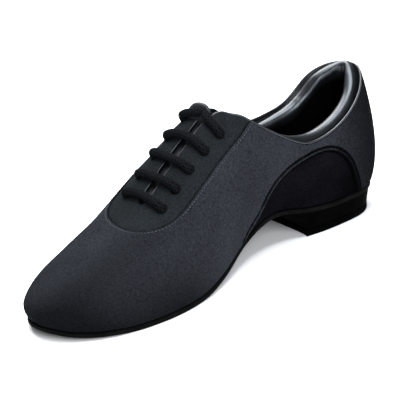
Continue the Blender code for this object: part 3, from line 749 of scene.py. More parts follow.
def fabric_material(name, dark, light, shade, patches, relief):
    """A matte woven fabric between two colours: lighter on the raised threads, with painted shade between
    them, and in patches of a size and two values; darker by its low attribute, which holds painted shade
    and painted light, and, by the shade, with painted shade next to its seams."""
    tree, shader, where = new_material(name)
    weave = use_group(tree, "fine weave", {"Vector": where, "Threads": 1150.0, "Fuzz": 0.6})
    distance = add_node(tree, "Attribute", attribute_name="seam").outputs["Fac"]
    low = add_node(tree, "Attribute", attribute_name="low").outputs["Fac"]
    seam = use_group(tree, "seam shade", {"Distance": distance, "Reach": 0.0014, "Amount": shade})["Shade"]
    # The threads' relief painted into the tone: painted light on their tops, painted shade between them
    tone = calculate(tree, "MULTIPLY", weave["Light"], 0.26)
    tone = calculate(tree, "MULTIPLY_ADD", weave["Speckle"], 0.85, tone)
    tone = calculate(tree, "ADD", tone, patchy(tree, where, *patches))
    # Painted shade, and painted light where the low attribute is below 0
    tone = calculate(tree, "MULTIPLY", calculate(tree, "MULTIPLY_ADD", low, -0.92, 1.0), tone)
    # Painted shade next to the seams
    tone = calculate(tree, "SUBTRACT", tone, seam)
    tone = add_node(tree, "Clamp", {0: tone}).outputs[0]
    rough = patchy(tree, where, patches[0] * 3, 0.78, 0.95)
    bump = weave["Height"], 0.45, relief
    finish(tree, shader, mixed(tree, tone, dark, light), rough, bump, Specular_IOR_Level=0.005)


def leather_material(name, light, gloss, index):
    """Black leather with fine grain, soft creases and a clear coat. The gloss is its smallest roughness."""
    tree, shader, where = new_material(name)
    grain = use_group(tree, "leather grain", {"Vector": where, "Cells": 1300.0, "Creases": 0.2})
    rough = patchy(tree, where, 70.0, gloss, gloss + 0.12)
    colour = mixed(tree, grain["Worn"], (0.0012, 0.0014, 0.0018), light)
    coat = {"Coat_Weight": 0.18, "Coat_Roughness": 0.20}
    tint = {"IOR": index, "Specular_IOR_Level": 0.5, "Specular_Tint": (0.80, 0.90, 1.0, 1)}
    finish(tree, shader, colour, rough, (grain["Height"], 0.14, 0.0004), **coat, **tint)


def cord_material(name, dark, light):
    """Black braided cord: painted shade in the valleys between the strands and painted light on their tops.
    """
    tree, shader, where = new_material(name)
    flat = add_node(tree, "UVMap", uv_map="pattern").outputs[0]
    braid = use_group(tree, "round braid", {"Vector": flat, "Strands": 7.0, "Pitch": 330.0})
    rough = patchy(tree, where, 200.0, 0.7, 0.95)
    bump = braid["Height"], 0.9, 0.0004
    finish(tree, shader, mixed(tree, braid["Light"], dark, light), rough, bump, Specular_IOR_Level=0.01)


def plain_material(name, dark, light, rough, size, relief, specular):
    """A plain dark surface, such as rubber, suede or lining: two close colours and a fine uneven height."""
    tree, shader, where = new_material(name)
    colour = mixed(tree, patchy(tree, where, 80.0, 0.0, 1.0), dark, light)
    bump = noise(tree, where, size, 3.0)["Fac"], 0.5, relief
    finish(tree, shader, colour, patchy(tree, where, 150.0, *rough), bump, Specular_IOR_Level=specular)


def floor_material(name, colour):
    """The floor's plain white."""
    tree, shader, where = new_material(name)
    shader.inputs["Base Color"].default_value = (*colour, 1)
    shader.inputs["Specular IOR Level"].default_value = 0.1
    tree.links.new(patchy(tree, where, 4.0, 0.85, 0.9), shader.inputs["Roughness"])


# Fabrics: name, dark and light colour, painted shade at the seams, patches' size and two values, and relief
FABRICS = (
    ("upper_fabric", (0.0014, 0.0015, 0.0020), (0.0325, 0.0362, 0.0430), 0.90, (26.0, 0.34, 0.50), 0.00009),
    ("facing_fabric", (0.0020, 0.0024, 0.0028), (0.0182, 0.0214, 0.0240), 0.35, (26.0, 0.34, 0.50), 0.00009),
    ("arch_fabric", (0.0005, 0.0005, 0.0007), (0.0066, 0.0062, 0.0085), 0.90, (50.0, 0.25, 0.50), 0.00010),
)
# Leathers: name, light colour, smallest roughness and index of refraction
LEATHERS = (
    ("black_leather", (0.0026, 0.0031, 0.0040), 0.30, 1.56),
    # Darker, duller copy of the black leather for valley and tongue: its darker colour is painted shade
    ("dull_leather", (0.0016, 0.0018, 0.0022), 0.50, 1.25),
)
# Plain ones: name, dark and light colour, two roughnesses, the relief's fineness and distance, specular level
PLAIN = (
    ("dark_lining", (0.0004, 0.0004, 0.0005), (0.0010, 0.0010, 0.0012), (0.85, 0.95), 400.0, 0.0002, 0.03),
    ("suede", (0.0013, 0.0013, 0.0013), (0.0030, 0.0029, 0.0029), (0.85, 0.98), 900.0, 0.0003, 0.05),
    # Black rubber of the heel and lift, darkened further: painted shade on the heel
    ("black_rubber", (0.0003, 0.0003, 0.0003), (0.0007, 0.0007, 0.0007), (0.65, 0.80), 700.0, 0.0001, 0.01),
    # Dark thread painted lighter: painted highlight on the stitches
    ("thread", (0.026, 0.029, 0.034), (0.050, 0.055, 0.064), (0.60, 0.80), 3000.0, 0.00005, 0.20),
)


def make_materials():
    """All the groups and materials."""
    make_weave_group()
    make_grain_group()
    make_braid_group()
    make_mottle_group()
    make_seam_group()
    for row in FABRICS:
        fabric_material(*row)
    for row in LEATHERS:
        leather_material(*row)
    for row in PLAIN:
        plain_material(*row)
    cord_material("braided_cord", (0.0010, 0.0011, 0.0013), (0.0068, 0.0077, 0.0088))
    floor_material("white_floor", (0.96, 0.96, 0.965))


# Settings


def length(name, description, default):
    """A size in metres that the user can change."""
    return FloatProperty(name=name, description=description, default=default, unit="LENGTH")


class ShoeUpperSettings(bpy.types.PropertyGroup):
    """Sizes of the fabric, its hems and its stitches."""

    columns: IntProperty(name="Columns", description="Grid columns from heel to toe", default=340, min=40)
    hem: length("Hem", "Radius of a folded edge", 0.0009)
    groove: length("Groove", "Depth of a stitched groove", 0.00014)
    hem_rise: length("Hem rise", "Height of the raised hem over the arch panel", 0.00055)
    stitch_inset: length("Stitch inset", "Distance of the stitches from the seam", 0.0019)
    stitch_pitch: length("Stitch pitch", "Distance from stitch to stitch", 0.0023)
    stitch_radius: length("Thread", "Radius of the thread", 0.00030)
    hole: length("Lace hole", "Radius of a lace hole", 0.0027)


class ShoeCollarSettings(bpy.types.PropertyGroup):
    """Sizes of the bead and the padded roll."""

    bead: length("Bead", "Diameter of the bead round the rim", 0.0015)
    roll_depth: length("Roll depth", "Height of the padded roll", 0.0135)
    roll_thickness: length("Roll thickness", "Thickness of the padded roll", 0.0096)
    valley: length("Valley", "Gap between bead and roll", 0.0026)
    roll_rise: length("Roll rise", "How far the roll stands over the topline", 0.0046)


class ShoeLaceSettings(bpy.types.PropertyGroup):
    """Sizes of the laces."""

    cord: length("Cord", "Diameter of the cord", 0.0056)
    clearance: length("Clearance", "Gap under a bar", 0.0002)


class ShoeSoleSettings(bpy.types.PropertyGroup):
    """Sizes of the sole, the insole and the tongue."""

    edge: length("Edge", "Radius of the sole's edge", 0.0008)
    tongue_width: length("Tongue width", "Full width of the tongue", 0.040)
    tongue_thickness: length("Tongue thickness", "Thickness of the tongue", 0.0022)
    insole_thickness: length("Insole thickness", "Thickness of the insole", 0.0018)


class ShoeStageSettings(bpy.types.PropertyGroup):
    """The camera and the light."""

    azimuth: FloatProperty(name="Azimuth", description="Degrees round the shoe", default=51.27)
    elevation: FloatProperty(name="Elevation", description="Degrees over the floor", default=24.04)
    roll: FloatProperty(name="Roll", description="Degrees about the line of sight", default=-4.27)
    distance: length("Distance", "Distance of the camera", 1.635)
    lens: FloatProperty(name="Lens", description="Focal length in millimetres", default=229.0)
    aim: FloatVectorProperty(
        name="Aim", description="What the camera looks at", default=(-0.0028, -0.0039, 0.040), subtype="XYZ"
    )
    sky: FloatProperty(name="Sky", description="Strength of the even light", default=0.22)


# The fabric of the upper


def column_rows(length, count):
    """Shares along each column: fine rows at true distances next to both ends and even ones between."""
    length = np.maximum(length, 0.016)[None]
    low = SEAM_ROWS[:, None] / length
    high = 1 - SEAM_ROWS[::-1, None] / length
    between = np.linspace(0, 1, count + 2)[1:-1, None]
    return np.concatenate([low, low[-1:] + between * (high[:1] - low[-1:]), high])


def column_lengths(bottom, top):
    """True lengths on the form of the straight columns from one line of the pattern plane to another."""
    t = np.linspace(0, 1, 25)[:, None, None]
    walk = place(*split(bottom + t * (top - bottom)))
    return np.linalg.norm(np.diff(walk, axis=0), axis=-1).sum(0)


def folded_edge(distance, radius):
    """Height at a distance from a folded edge: a quarter circle that ends level at the radius."""
    return -radius * (1 - np.sqrt(np.clip(1 - np.clip(1 - distance / radius, 0, 1) ** 2, 0, 1)))


def bell(distance, middle, width):
    """A bell curve of height 1: e to the minus square of the distance from its middle over its width."""
    return np.exp(-(((distance - middle) / width) ** 2))


# Soft folds of the stretched fabric: share, turn, half length along and across on the pattern, angle and
# height
FOLDS = (
    (0.735, 0.42, 0.030, 0.0060, 1.15, -0.00035),
    (0.700, -0.40, 0.030, 0.0060, -1.20, -0.00040),
    (0.765, 0.60, 0.026, 0.0050, 1.25, 0.00030),
    (0.520, 0.72, 0.034, 0.0070, 0.35, -0.00040),
    (0.480, -0.70, 0.034, 0.0070, -0.30, -0.00045),
    (0.330, 0.40, 0.026, 0.0060, 0.20, -0.00035),
    (0.090, 0.58, 0.020, 0.0050, 0.10, -0.00030),
    (0.070, -0.55, 0.020, 0.0050, -0.15, -0.00030),
    (0.170, 0.86, 0.022, 0.0040, 0.05, 0.00035),
    (0.250, 0.80, 0.026, 0.0042, 0.15, -0.00035),
    (0.135, 0.90, 0.016, 0.0034, 0.35, -0.00040),
)


def fold_heights(arc, turn):
    """The sum of the soft folds: bell curves stretched along their own angle in the pattern plane."""
    flat = pattern_uv(arc, turn)
    total = np.zeros(flat.shape[:-1])
    for share, where, long, wide, angle, height in FOLDS:
        away = flat - np.array([float(arc_of(share)), where]) * PATTERN
        along = away[..., 0] * math.cos(angle) + away[..., 1] * math.sin(angle)
        across = away[..., 1] * math.cos(angle) - away[..., 0] * math.sin(angle)
        total += height * np.exp(-((along / long) ** 2) - (across / wide) ** 2)
    return total


# Where columns of the vamp's grid meet its lower and its upper edge: shares of the length, at steps of 0 to 1
BOTTOM_SHARES = (0, 0.045, 0.100, 0.134, 0.190, 0.27, 0.36, 0.445, 0.55, 0.66, 0.76, 0.84, 0.92, 1)
TOP_SHARES = (0, 0.050, 0.105, 0.140, 0.190, 0.26, 0.33, 0.384, 0.48, 0.59, 0.67, 0.724, 0.85, 1)
STEPS = (0, 0.05, 0.11, 0.16, 0.22, 0.30, 0.38, 0.46, 0.56, 0.66, 0.76, 0.83, 0.91, 1)


def vamp_lines(side):
    """The lower and the upper edge of the vamp and quarters on one side, in the pattern plane."""
    girth = side * PATTERN[1]
    arch = arch_line(side, LINE_STEP)[::-1]
    facing = facing_line(side, LINE_STEP)
    back = rim_line(side, LINE_STEP)[0]
    bottom = [straight((0, girth), arch[0])[:-1], arch, straight(arch[-1], (PATTERN[0], girth))[1:]]
    top = [back[:-1], facing, straight(facing[-1], (PATTERN[0], 0))[1:]]
    return np.concatenate(bottom), np.concatenate(top)


def painted_shade(points):
    """Painted shade and painted light on the fabric: how much darker it is painted near the sole of the
    forefoot, on its inner flank and round the back of the heel, and how much lighter it is painted low at
    the waist: soft steps and bells of the height and the way forward."""
    aside, forward, height = points[..., 0], -points[..., 1], points[..., 2]
    back_depth, waist_middle, waist_width = 0.064, 0.125, 0.035
    ball_start, ball_fading = 0.15, 0.05
    # Painted shade by the sole, on the inner flank and at the heel's back; painted light low at the waist
    near_sole = 1 - ease((height - 0.002) / 0.050)
    at_waist = bell(forward, waist_middle, waist_width) * (1 - ease((height - 0.020) / 0.030))
    flank = bell(aside, 0.024, 0.020)
    at_ball = ease((forward - ball_start) / ball_fading) * np.clip(0.70 * near_sole + 0.42 * flank, 0, 0.9)
    return at_ball + 1 - ease(forward / back_depth) - 0.35 * at_waist


def vamp_grid(side, settings):
    """One side of the vamp and quarters: points, flat coordinates, weighted distance to the nearest seam
    for the painted seam shade, and the painted shade and painted light.

    Columns are straight in the pattern plane from the lower to the upper edge. The height is the form's
    plus quarter circles at the folded edges, bells for the stitched grooves and the raised hem, and the
    soft folds. Extra rows turn the upper edge and the arch's hem back under themselves and the feather edge
    under the foot.
    """
    lines = vamp_lines(side)
    bottom = stations(lines[0], BOTTOM_SHARES, STEPS, settings.columns)
    top = stations(lines[1], TOP_SHARES, STEPS, settings.columns)
    rows = column_rows(column_lengths(bottom, top), 34)[..., None]
    arc, turn = split(bottom + rows * (top - bottom))
    base = place(arc, turn)
    to_facing = distance_to(base, facing_line(side, FINE_STEP))
    to_topline = distance_to(base, rim_line(side, FINE_STEP)[0])
    to_arch = distance_to(base, arch_line(side, FINE_STEP))
    to_top = np.minimum(to_facing, to_topline)
    height = folded_edge(to_top, settings.hem) + folded_edge(to_arch, settings.hem)
    height -= settings.groove * bell(to_facing, settings.stitch_inset, GROOVE_WIDTH)
    raised = bell(to_arch, HEM_MIDDLE, HEM_WIDTH) - 1.3 * bell(to_arch, HEM_GROOVE, GROOVE_WIDTH)
    height += settings.hem_rise * raised
    height += fold_heights(arc, turn)
    height[:, -1] = 0
    on_feather = (np.abs(bottom[:, 1]) > PATTERN[1] * 0.999).astype(float)
    from_feather = np.linalg.norm(base - base[:1], axis=-1)
    height += on_feather * folded_edge(from_feather, FEATHER_FOLD)
    out = outward(arc, turn)
    points = base + height[..., None] * out
    on_ridge = (np.abs(top[:, 1]) < 1e-9)[:, None]
    backs = []
    for number, depth in ((-1, 0.0010), (-6, 0.0012)):
        under = base[number] - (depth + settings.hem * 0.1) * out[number]
        backs.append(np.where(on_ridge, points[-1], under))
    level = unit(out[0] * (1, 1, 0))
    lows = []
    for number, depth, inset in ((5, 0.0010, 0.004), (0, 0.0009, 0.0012)):
        hem = base[number] - depth * out[number]
        foot = base[0] - level * inset - (0, 0, 0.00022)
        lows.append(np.where(on_feather[:, None] > 0, foot, hem))
    points = np.concatenate([lows, points, backs])
    # Where the painted seam shade lies: the edges at the facing, the topline and the arch hem, and the hem's
    # groove
    seams = to_facing * 2.4, to_topline * 2.5, to_arch * 0.8, np.abs(to_arch - HEM_GROOVE)
    seam = repeated(np.min(seams, axis=0), 2, 2)
    return points, repeated(pattern_uv(arc, turn), 2, 2), seam, painted_shade(points)


def make_vamp(settings):
    """The vamp and quarters: one sheet of stretch fabric over both sides, joined at the heel and the
    ridge."""
    sides = [vamp_grid(side, settings) for side in (1, -1)]
    grids = [grid(one[0], flip, one[1]) for one, flip in zip(sides, (False, True))]
    seam, low = (np.concatenate([one[i].ravel() for one in sides]) for i in (2, 3))
    # The low attribute holds the painted shade and painted light; the seam one places the painted seam shade
    values = {"seam": seam, "low": low}
    return new_piece("vamp_and_quarters", grids, "upper_fabric", ("upper",), values)


def metric_at(arc, turn):
    """The matrix that turns steps on the pattern plane at a place into squared true distances."""
    small = SLOPE_STEP
    along = (place(arc + small, turn) - place(arc - small, turn)) / (2 * small * PATTERN[0])
    across = (place(arc, turn + small) - place(arc, turn - small)) / (2 * small * PATTERN[1])
    return np.array([[along @ along, along @ across], [along @ across, across @ across]])


def open_holes(flat, side, radius):
    """Pushes points of the pattern plane out of the lace holes. Near a hole a true distance r from its
    middle becomes the root of r squared plus the radius squared, less and less with distance. Returns the
    points, the distance from the nearest hole's rim, and which points fall away."""
    nearest = np.full(flat.shape[:-1], 1.0)
    gone = np.zeros(flat.shape[:-1], bool)
    moved = flat.copy()
    core, reach, fading = 0.0011, 0.0075, 0.0045
    for arc, *turns in lace_places():
        turn = turns[0] if side > 0 else turns[1]
        away = flat - np.array([arc, turn]) * PATTERN
        values, vectors = np.linalg.eigh(metric_at(arc, turn))
        true = away @ vectors * np.sqrt(values)
        r = np.linalg.norm(true, axis=-1)
        pushed = np.sqrt(np.clip(r**2 - core**2, 0, None) + radius**2)
        pushed = r + (pushed - r) * ease((reach - r) / fading)
        moved += (away * (pushed / np.maximum(r, 1e-9) - 1)[..., None]) * (r < reach)[..., None]
        nearest = np.minimum(nearest, np.where(r < reach, pushed, r) - radius)
        gone |= r < core
    return moved, nearest, gone


def make_facing(settings):
    """The facing: the U-shaped panel under the laces, a step lower than the vamp, with round lace holes.

    Columns run from under the vamp to the throat's edge. The height is a step down plus a quarter circle at
    the edge, a dip round each hole and a slow swell between the rows of laces.
    """
    grids, seams, drops = [], [], []
    edge_fold, puff = 0.0006, 0.00025
    rim_drop, rim_width, dip, dip_width = 0.0009, 0.0013, 0.0004, 0.0045
    first_row, second_row = (row[0] for row in lace_places()[:2])
    for side in (1, -1):
        seam = facing_line(side, LINE_STEP)
        edge = rim_line(side, LINE_STEP)[1]
        edge = np.concatenate([edge, straight(edge[-1], seam[-1])[1:]])
        steps = (0, 0.2, 0.45, 0.72, 0.86, 1)
        lower = stations(seam, (0.384, 0.450, 0.550, 0.645, 0.700, 0.724), steps, 230)
        upper = stations(edge, (0.384, 0.445, 0.550, 0.6400, 0.6635, 0.724), steps, 230)
        length = np.maximum(column_lengths(lower, upper), 0.004)[None]
        under = np.array([-0.0030, -0.0015, 0])[:, None] / length
        rows = np.concatenate([under, np.linspace(0, 1, 52)[1:, None] + 0 * length])[..., None]
        flat = lower + rows * (upper - lower)
        flat[..., 1] = np.where(side * flat[..., 1] < 0, 0, flat[..., 1])
        flat, hole, gone = open_holes(flat, side, settings.hole)
        arc, turn = split(flat)
        base = place(arc, turn)
        to_seam = distance_to(base, seam)
        to_edge = distance_to(base, rim_line(side, FINE_STEP)[1])
        height = -PANEL_STEP - 0.0001 + folded_edge(to_edge, edge_fold)
        height = height - rim_drop * ease(1 - hole / rim_width) - dip * bell(hole, 0, dip_width)
        swell = np.sin(math.pi * (arc - first_row) / (second_row - first_row))
        height += puff * swell**2 * ease(to_seam / 0.004)
        points = base + height[..., None] * outward(arc, turn)
        grids.append(grid(points, side < 0, pattern_uv(arc, turn)))
        # Painted shade next to the seam and round the rims of the lace holes
        seams.append(np.minimum(to_seam, np.maximum(hole, 0)).ravel())
        drops.append(gone.ravel())
    values = {"seam": np.concatenate(seams)}
    drop = np.concatenate(drops)
    look, slot = "facing_fabric", "stretch_fabric"
    return new_piece("facing", grids, look, ("upper",), values, drop, FACING_WALL)


def make_arch_panels():
    """The arch panels: each fills the space under the quarters' raised hem down to the feather edge, a step
    lower than the quarters, and turns in under the foot."""
    made = []
    for side, name in ((1, "arch_panel_inner"), (-1, "arch_panel_outer")):
        seam = arch_line(side, LINE_STEP)[::-1]
        girth = side * PATTERN[1]
        foot = straight((seam[0, 0], girth), (seam[-1, 0], girth), 400)
        steps = (0, 0.12, 0.3, 0.55, 0.8, 1)
        upper = stations(seam, (0.100, 0.118, 0.177, 0.27, 0.36, 0.445), steps, 180)
        lower = stations(foot, (0.100, 0.130, 0.195, 0.28, 0.365, 0.445), steps, 180)
        length = np.maximum(column_lengths(lower, upper), 0.002)[None]
        over = np.array([0, 0.0012, 0.0030])[:, None] / length
        rows = np.concatenate([np.linspace(0, 1, 44)[:-1, None] + 0 * length, 1 + over])[..., None]
        arc, turn = split(lower + rows * (upper - lower))
        turn = np.clip(turn, -1, 1)
        base = place(arc, turn)
        from_feather = np.linalg.norm(base - base[:1], axis=-1)
        height = -PANEL_STEP + folded_edge(from_feather, FEATHER_FOLD) + fold_heights(arc, turn)
        out = outward(arc, turn)
        points = base + height[..., None] * out
        level = unit(out[0] * (1, 1, 0))
        foot_rows = [base[0] - level * inset - (0, 0, 0.0002) for inset in (0.0045, 0.0020)]
        points = np.concatenate([foot_rows, points])
        # Painted shade, stronger towards the sole, and painted seam shade at the edge step under the
        # quarters' hem
        low = painted_shade(points) + 0.6 * (1 - ease(points[..., 2] / 0.06))
        values = {"seam": repeated(distance_to(base, seam), 2), "low": low}
        grids = [grid(points, side < 0, repeated(pattern_uv(arc, turn), 2))]
        made.append(new_piece(name, grids, "arch_fabric", ("upper",), values))
    return made


def make_lining():
    """The lining: the inner face of the upper, a wall's depth inside the form, from the rim to the
    feather."""
    grids = []
    for side in (1, -1):
        back, front = rim_line(side, LINE_STEP)
        top = np.concatenate([back[:-1], front, straight(front[-1], (PATTERN[0], 0))[1:]])
        bottom = straight((0, side * PATTERN[1]), (PATTERN[0], side * PATTERN[1]), 600)
        shares = (0, 0.12, 0.25, 0.384, 0.46, 0.6635, 0.85, 1)
        steps = (0, 0.14, 0.28, 0.42, 0.5, 0.7, 0.86, 1)
        upper = stations(top, shares, steps, 220)
        lower = stations(bottom, shares, steps, 220)
        rows = np.linspace(0, 1, 36)[:, None, None]
        arc, turn = split(lower + rows * (upper - lower))
        height = -WALL + 0.0001 - 0.0003 * (rows[..., 0] < 0.02)
        grids.append(grid(lifted(arc, turn, height), side > 0, pattern_uv(arc, turn)))
    return new_piece("upper_lining", grids, "dark_lining", ("upper",))


# Bead, roll and tongue


def rim_loop(spacing):
    """Places of the whole rim as one closed run, and how deep the middle of the wall lies at each."""
    runs, depths = [], []
    blend = 10
    for side in (1, -1):
        back, front = rim_line(side, spacing)
        run = np.concatenate([back[:-1], front])
        past_corner = np.arange(len(run)) - len(back)
        depth = WALL / 2 + PANEL_STEP / 2 * ease((past_corner + blend / 2) / blend)
        way = slice(None) if side > 0 else slice(-2, 0, -1)
        runs.append(run[way])
        depths.append(depth[way])
    arc, turn = split(np.concatenate(runs))
    return arc, turn, np.concatenate(depths)


def smoothed(values, width):
    """A running average along the first axis, with bell-curve weights of a given width."""
    number = np.arange(len(values))
    weights = np.exp(-(((number[:, None] - number) / width) ** 2))
    weights /= weights.sum(1, keepdims=True)
    return (weights @ values.reshape(len(values), -1)).reshape(values.shape)


def topline_run(cut):
    """Places along the whole topline from the inner to the outer facing, less a few at both ends, with the
    true length of a turn at each."""
    inner, outer = (rim_line(side, 2 * LINE_STEP)[0] for side in (1, -1))
    arc, turn = split(np.concatenate([inner[: len(inner) - cut][::-1], outer[1 : len(outer) - cut]]))
    step = np.linalg.norm(place(arc, turn * (1 + SLOPE_STEP)) - place(arc, turn), axis=1)
    return arc, turn, step / (np.abs(turn) * SLOPE_STEP)


def inside_topline(arc, turn, rate, down, depth, width):
    """Points a true way down from the topline and a depth inside the form, by smoothed directions."""
    turns = turn[:, None] + np.sign(turn)[:, None] * down / rate[:, None]
    arcs = np.broadcast_to(arc[:, None], turns.shape)
    return place(arcs, turns) - depth[..., None] * smoothed(outward(arcs, turns), width)


def make_bead(settings):
    """The glossy bead: a round cord on the edge of the wall all round the rim, thinner at the slit."""
    seated = 0.36
    slit_start, fading, slit_loss = 0.445, 0.02, 0.58
    arc, turn, depth = rim_loop(BEAD_STEP)
    out = outward(arc, turn)
    edge = place(arc, turn) - (depth - 0.0001)[:, None] * out
    along = unit(np.roll(edge, -2, 0) - np.roll(edge, 2, 0))
    off = unit(np.cross(along, out))
    path = edge + off * settings.bead * seated
    size = 1 - slit_loss * ease((share_of(arc) - slit_start) / fading)
    rings = rings_round(path, out, off, settings.bead / 2 * size, 12)
    grids = [tube_grid(np.concatenate([rings, rings[:1]]), True)]
    return new_piece("edge_bead", grids, "black_leather", ("edge_binding",))


def make_roll(settings):
    """The padded roll inside the topline: an oval section, thinner at the heel's back, with shallow puckers
    along it. It shrinks to nothing at both ends, more slowly at the outer one."""
    inner_taper, outer_taper = 40, 64
    back_width, back_loss, valley_loss = 0.10, 0.22, 0.5
    least = 0.35
    arc, turn, rate = topline_run(4)
    number = np.arange(len(arc))
    from_end = np.minimum(number, number[::-1])
    taper = from_end / np.where(turn > 0, inner_taper, outer_taper)
    size = (np.clip(taper, 0, 1) ** np.where(turn > 0, 0.6, 0.85))[:, None]
    at_back = bell(arc, 0, back_width)[:, None]
    thick = settings.roll_thickness * (1 - back_loss * at_back)
    valley = settings.valley * (1 - valley_loss * at_back)
    angles = np.linspace(0, 2 * math.pi, 33)
    pucker = 1 + 0.022 * np.sin(number * 0.19 + 2 * np.sin(number * 0.031)) + 0.008 * np.sin(number * 0.61)
    down = settings.roll_depth / 2 * (1 - size * power(np.cos(angles), 0.9)) - settings.roll_rise * size
    middle = WALL + (valley + thick / 2) * (least + (1 - least) * size)
    depth = middle - thick / 2 * size * power(np.sin(angles), 0.85) * pucker[:, None]
    grids = [tube_grid(inside_topline(arc, turn, rate, down, depth, 20))]
    piece = new_piece("collar_roll", grids, "black_leather", ("collar_padding",))
    return piece


def make_valley(settings):
    """The valley between bead and roll: a leather sheet that curves down from the bead and under the roll."""
    start, overlap = 0.0016, 0.0040
    rise, drop = 0.0002, 0.0052
    taper = 12
    arc, turn, rate = topline_run(0)
    number = np.arange(len(arc))
    size = 0.3 + 0.7 * ease(np.minimum(number, number[::-1]) / taper)[:, None]
    t = np.linspace(0, 1, 12)
    depth = start + (settings.valley + overlap) * t * size
    down = drop * np.sin(t * math.pi / 2) * size - rise
    grids = [grid(inside_topline(arc, turn, rate, down, depth, 14), True)]
    # The darker leather paints the shade in the valley
    return new_piece("collar_valley", grids, "dull_leather", ("collar_padding",))


def rounded_end(distance, radius):
    """A quarter circle from 0 at an end to 1 at a radius from it."""
    return np.sqrt(np.clip(1 - (1 - np.clip(distance / radius, 0, 1)) ** 2, 0, 1))


def make_tongue(settings):
    """The tongue: a strip with a flat oval section under the facing that follows the form. Its top is rounded
    and narrower, rises out of the slit and leans to the outer side."""
    share = np.linspace(TONGUE_FRONT, TONGUE_BACK, 150)
    arcs = arc_of(share)
    from_top = (share - TONGUE_BACK) * LENGTH
    from_front = (TONGUE_FRONT - share) * LENGTH
    tip, widening = 0.006, 0.030
    narrow = rounded_end(from_top, tip) * (0.56 + 0.44 * ease((from_top - tip) / widening))
    thin = rounded_end(np.minimum(from_top, from_front), 0.0018)
    angles = np.linspace(0, 2 * math.pi, 49)
    lean = -TONGUE_LEAN * ease(1 - from_top / 0.020)[:, None]
    reach = settings.tongue_width / 2 * narrow[:, None] * power(np.cos(angles), 0.55) + lean
    arc = np.repeat(arcs[:, None], len(angles), 1)
    turn = turn_at_reach(arc, np.abs(reach), np.where(reach < 0, -1, 1))
    round_top = 0.0010 * bell(from_top, 0.004, 0.005)[:, None]
    rise = np.sin(angles)[None] * (settings.tongue_thickness / 2 + round_top) * thin[:, None]
    lift = TONGUE_LIFT * ease(1 - from_top / 0.014)[:, None]
    height = lift - (WALL + SOFT_GAP + settings.tongue_thickness / 2) + rise
    grids = [tube_grid(lifted(arc, turn, height))]
    # The darker leather paints the shade in the slit
    return new_piece("tongue_strip", grids, "dull_leather", ("tongue",))


# Laces and stitches


def lace_path(arc, reaches, heights, shifts):
    """A smooth path over the throat through reaches from the ridge, heights and steps along the shoe."""
    walk = walked(np.stack([reaches, heights], 1))
    at = np.linspace(0, walk[-1], 110)
    reach = steady_curve(walk, reaches, at)
    height = steady_curve(walk, heights, at)
    arcs = arc + steady_curve(walk, shifts, at) / PATTERN[0]
    turn = turn_at_reach(arcs, np.abs(reach), np.where(reach < 0, -1, 1))
    out = outward(arcs, turn)
    return place(arcs, turn) + height[:, None] * out, out


# Small unevenness of each lace bar: sag, and steps along the shoe at its inner end, middle and outer end
LACE_LOOSENESS = (
    (0.0002, 0.0002, -0.0004, 0.0001),
    (-0.0001, -0.0003, 0.0003, 0.0002),
    (0.0003, 0.0001, 0.0005, -0.0003),
    (0.0000, -0.0002, -0.0004, 0.0003),
)


def bar_route(half, high, loose):
    """Reaches, heights and steps along of a lace from its inner to its outer hole."""
    sag, inner, middle, outer = loose
    reaches = np.array([half + 0.0002, half, half - LACE_BEND, 0.008, 0.0])
    heights = np.array([-LACE_DEPTH, -0.0022, high - 0.0004, high + 0.0002, high - sag])
    steps = [inner] * 3 + [(inner + middle) / 2, middle, (outer + middle) / 2] + [outer] * 3
    reaches = np.concatenate([reaches, -reaches[-2::-1]])
    heights = np.concatenate([heights, heights[-2::-1]])
    return reaches, heights, np.array(steps)


def end_route(half, high, side):
    """Reaches, heights and steps along of one end of the top lace, from its hole into the slit."""
    reaches = side * np.array([half + 0.0002, half, half - LACE_BEND, 0.010, 0.0050, 0.0026, 0.0022])
    heights = [-LACE_DEPTH, -0.0022, high, high + 0.0004, high + 0.0002, high - 0.0012, high - 0.0048]
    return reaches, np.array(heights), -np.array([0, 0, 0, 0.0003, 0.0010, 0.0018, 0.0024])


def make_laces(settings):
    """The laces: round braided cords across the throat that dip into their holes, and two that meet on top
    and tuck into the slit."""
    half = LACE_SPREAD / 2
    high = settings.clearance + settings.cord / 2 - PANEL_STEP
    arcs = [row[0] for row in lace_places()]
    runs = []
    for number, (arc, loose) in enumerate(zip(arcs[:-1], LACE_LOOSENESS), 1):
        runs.append((f"lace_{number}", f"lace_bar_{number}", arc, bar_route(half, high, loose)))
    for side, name in ((1, "inner"), (-1, "outer")):
        runs.append((f"lace_top_{name}", f"lace_end_{name}", arcs[-1], end_route(half, high, side)))
    for name, node, arc, route in runs:
        path, up = lace_path(arc, *route)
        radius = np.full(len(path), settings.cord / 2)
        radius[[0, -1]] = 0
        along = unit(np.gradient(path, axis=0))
        across = unit(np.cross(along, up))
        rings = rings_round(path, across, np.cross(across, along), radius, 20)
        new_piece(name, [tube_grid(rings)], "braided_cord", (node,))


def stitch_row(line, side, inset, pitch, height):
    """Middles, directions and outward vectors of stitches at a true distance from a seam line."""
    arc, turn = split(line)
    path = place(arc, turn)
    out = outward(arc, turn)
    along = unit(np.gradient(path, axis=0))
    off = unit(np.cross(out, along)) * side
    path = path + off * inset + out * height
    walk = walked(path)
    count = int(walk[-1] / pitch)
    at = (np.arange(count) + 0.5) * walk[-1] / count
    middle, along, out = (
        np.stack([np.interp(at, walk, values[:, i]) for i in range(3)], 1) for values in (path, along, out)
    )
    return middle, unit(along), unit(out)


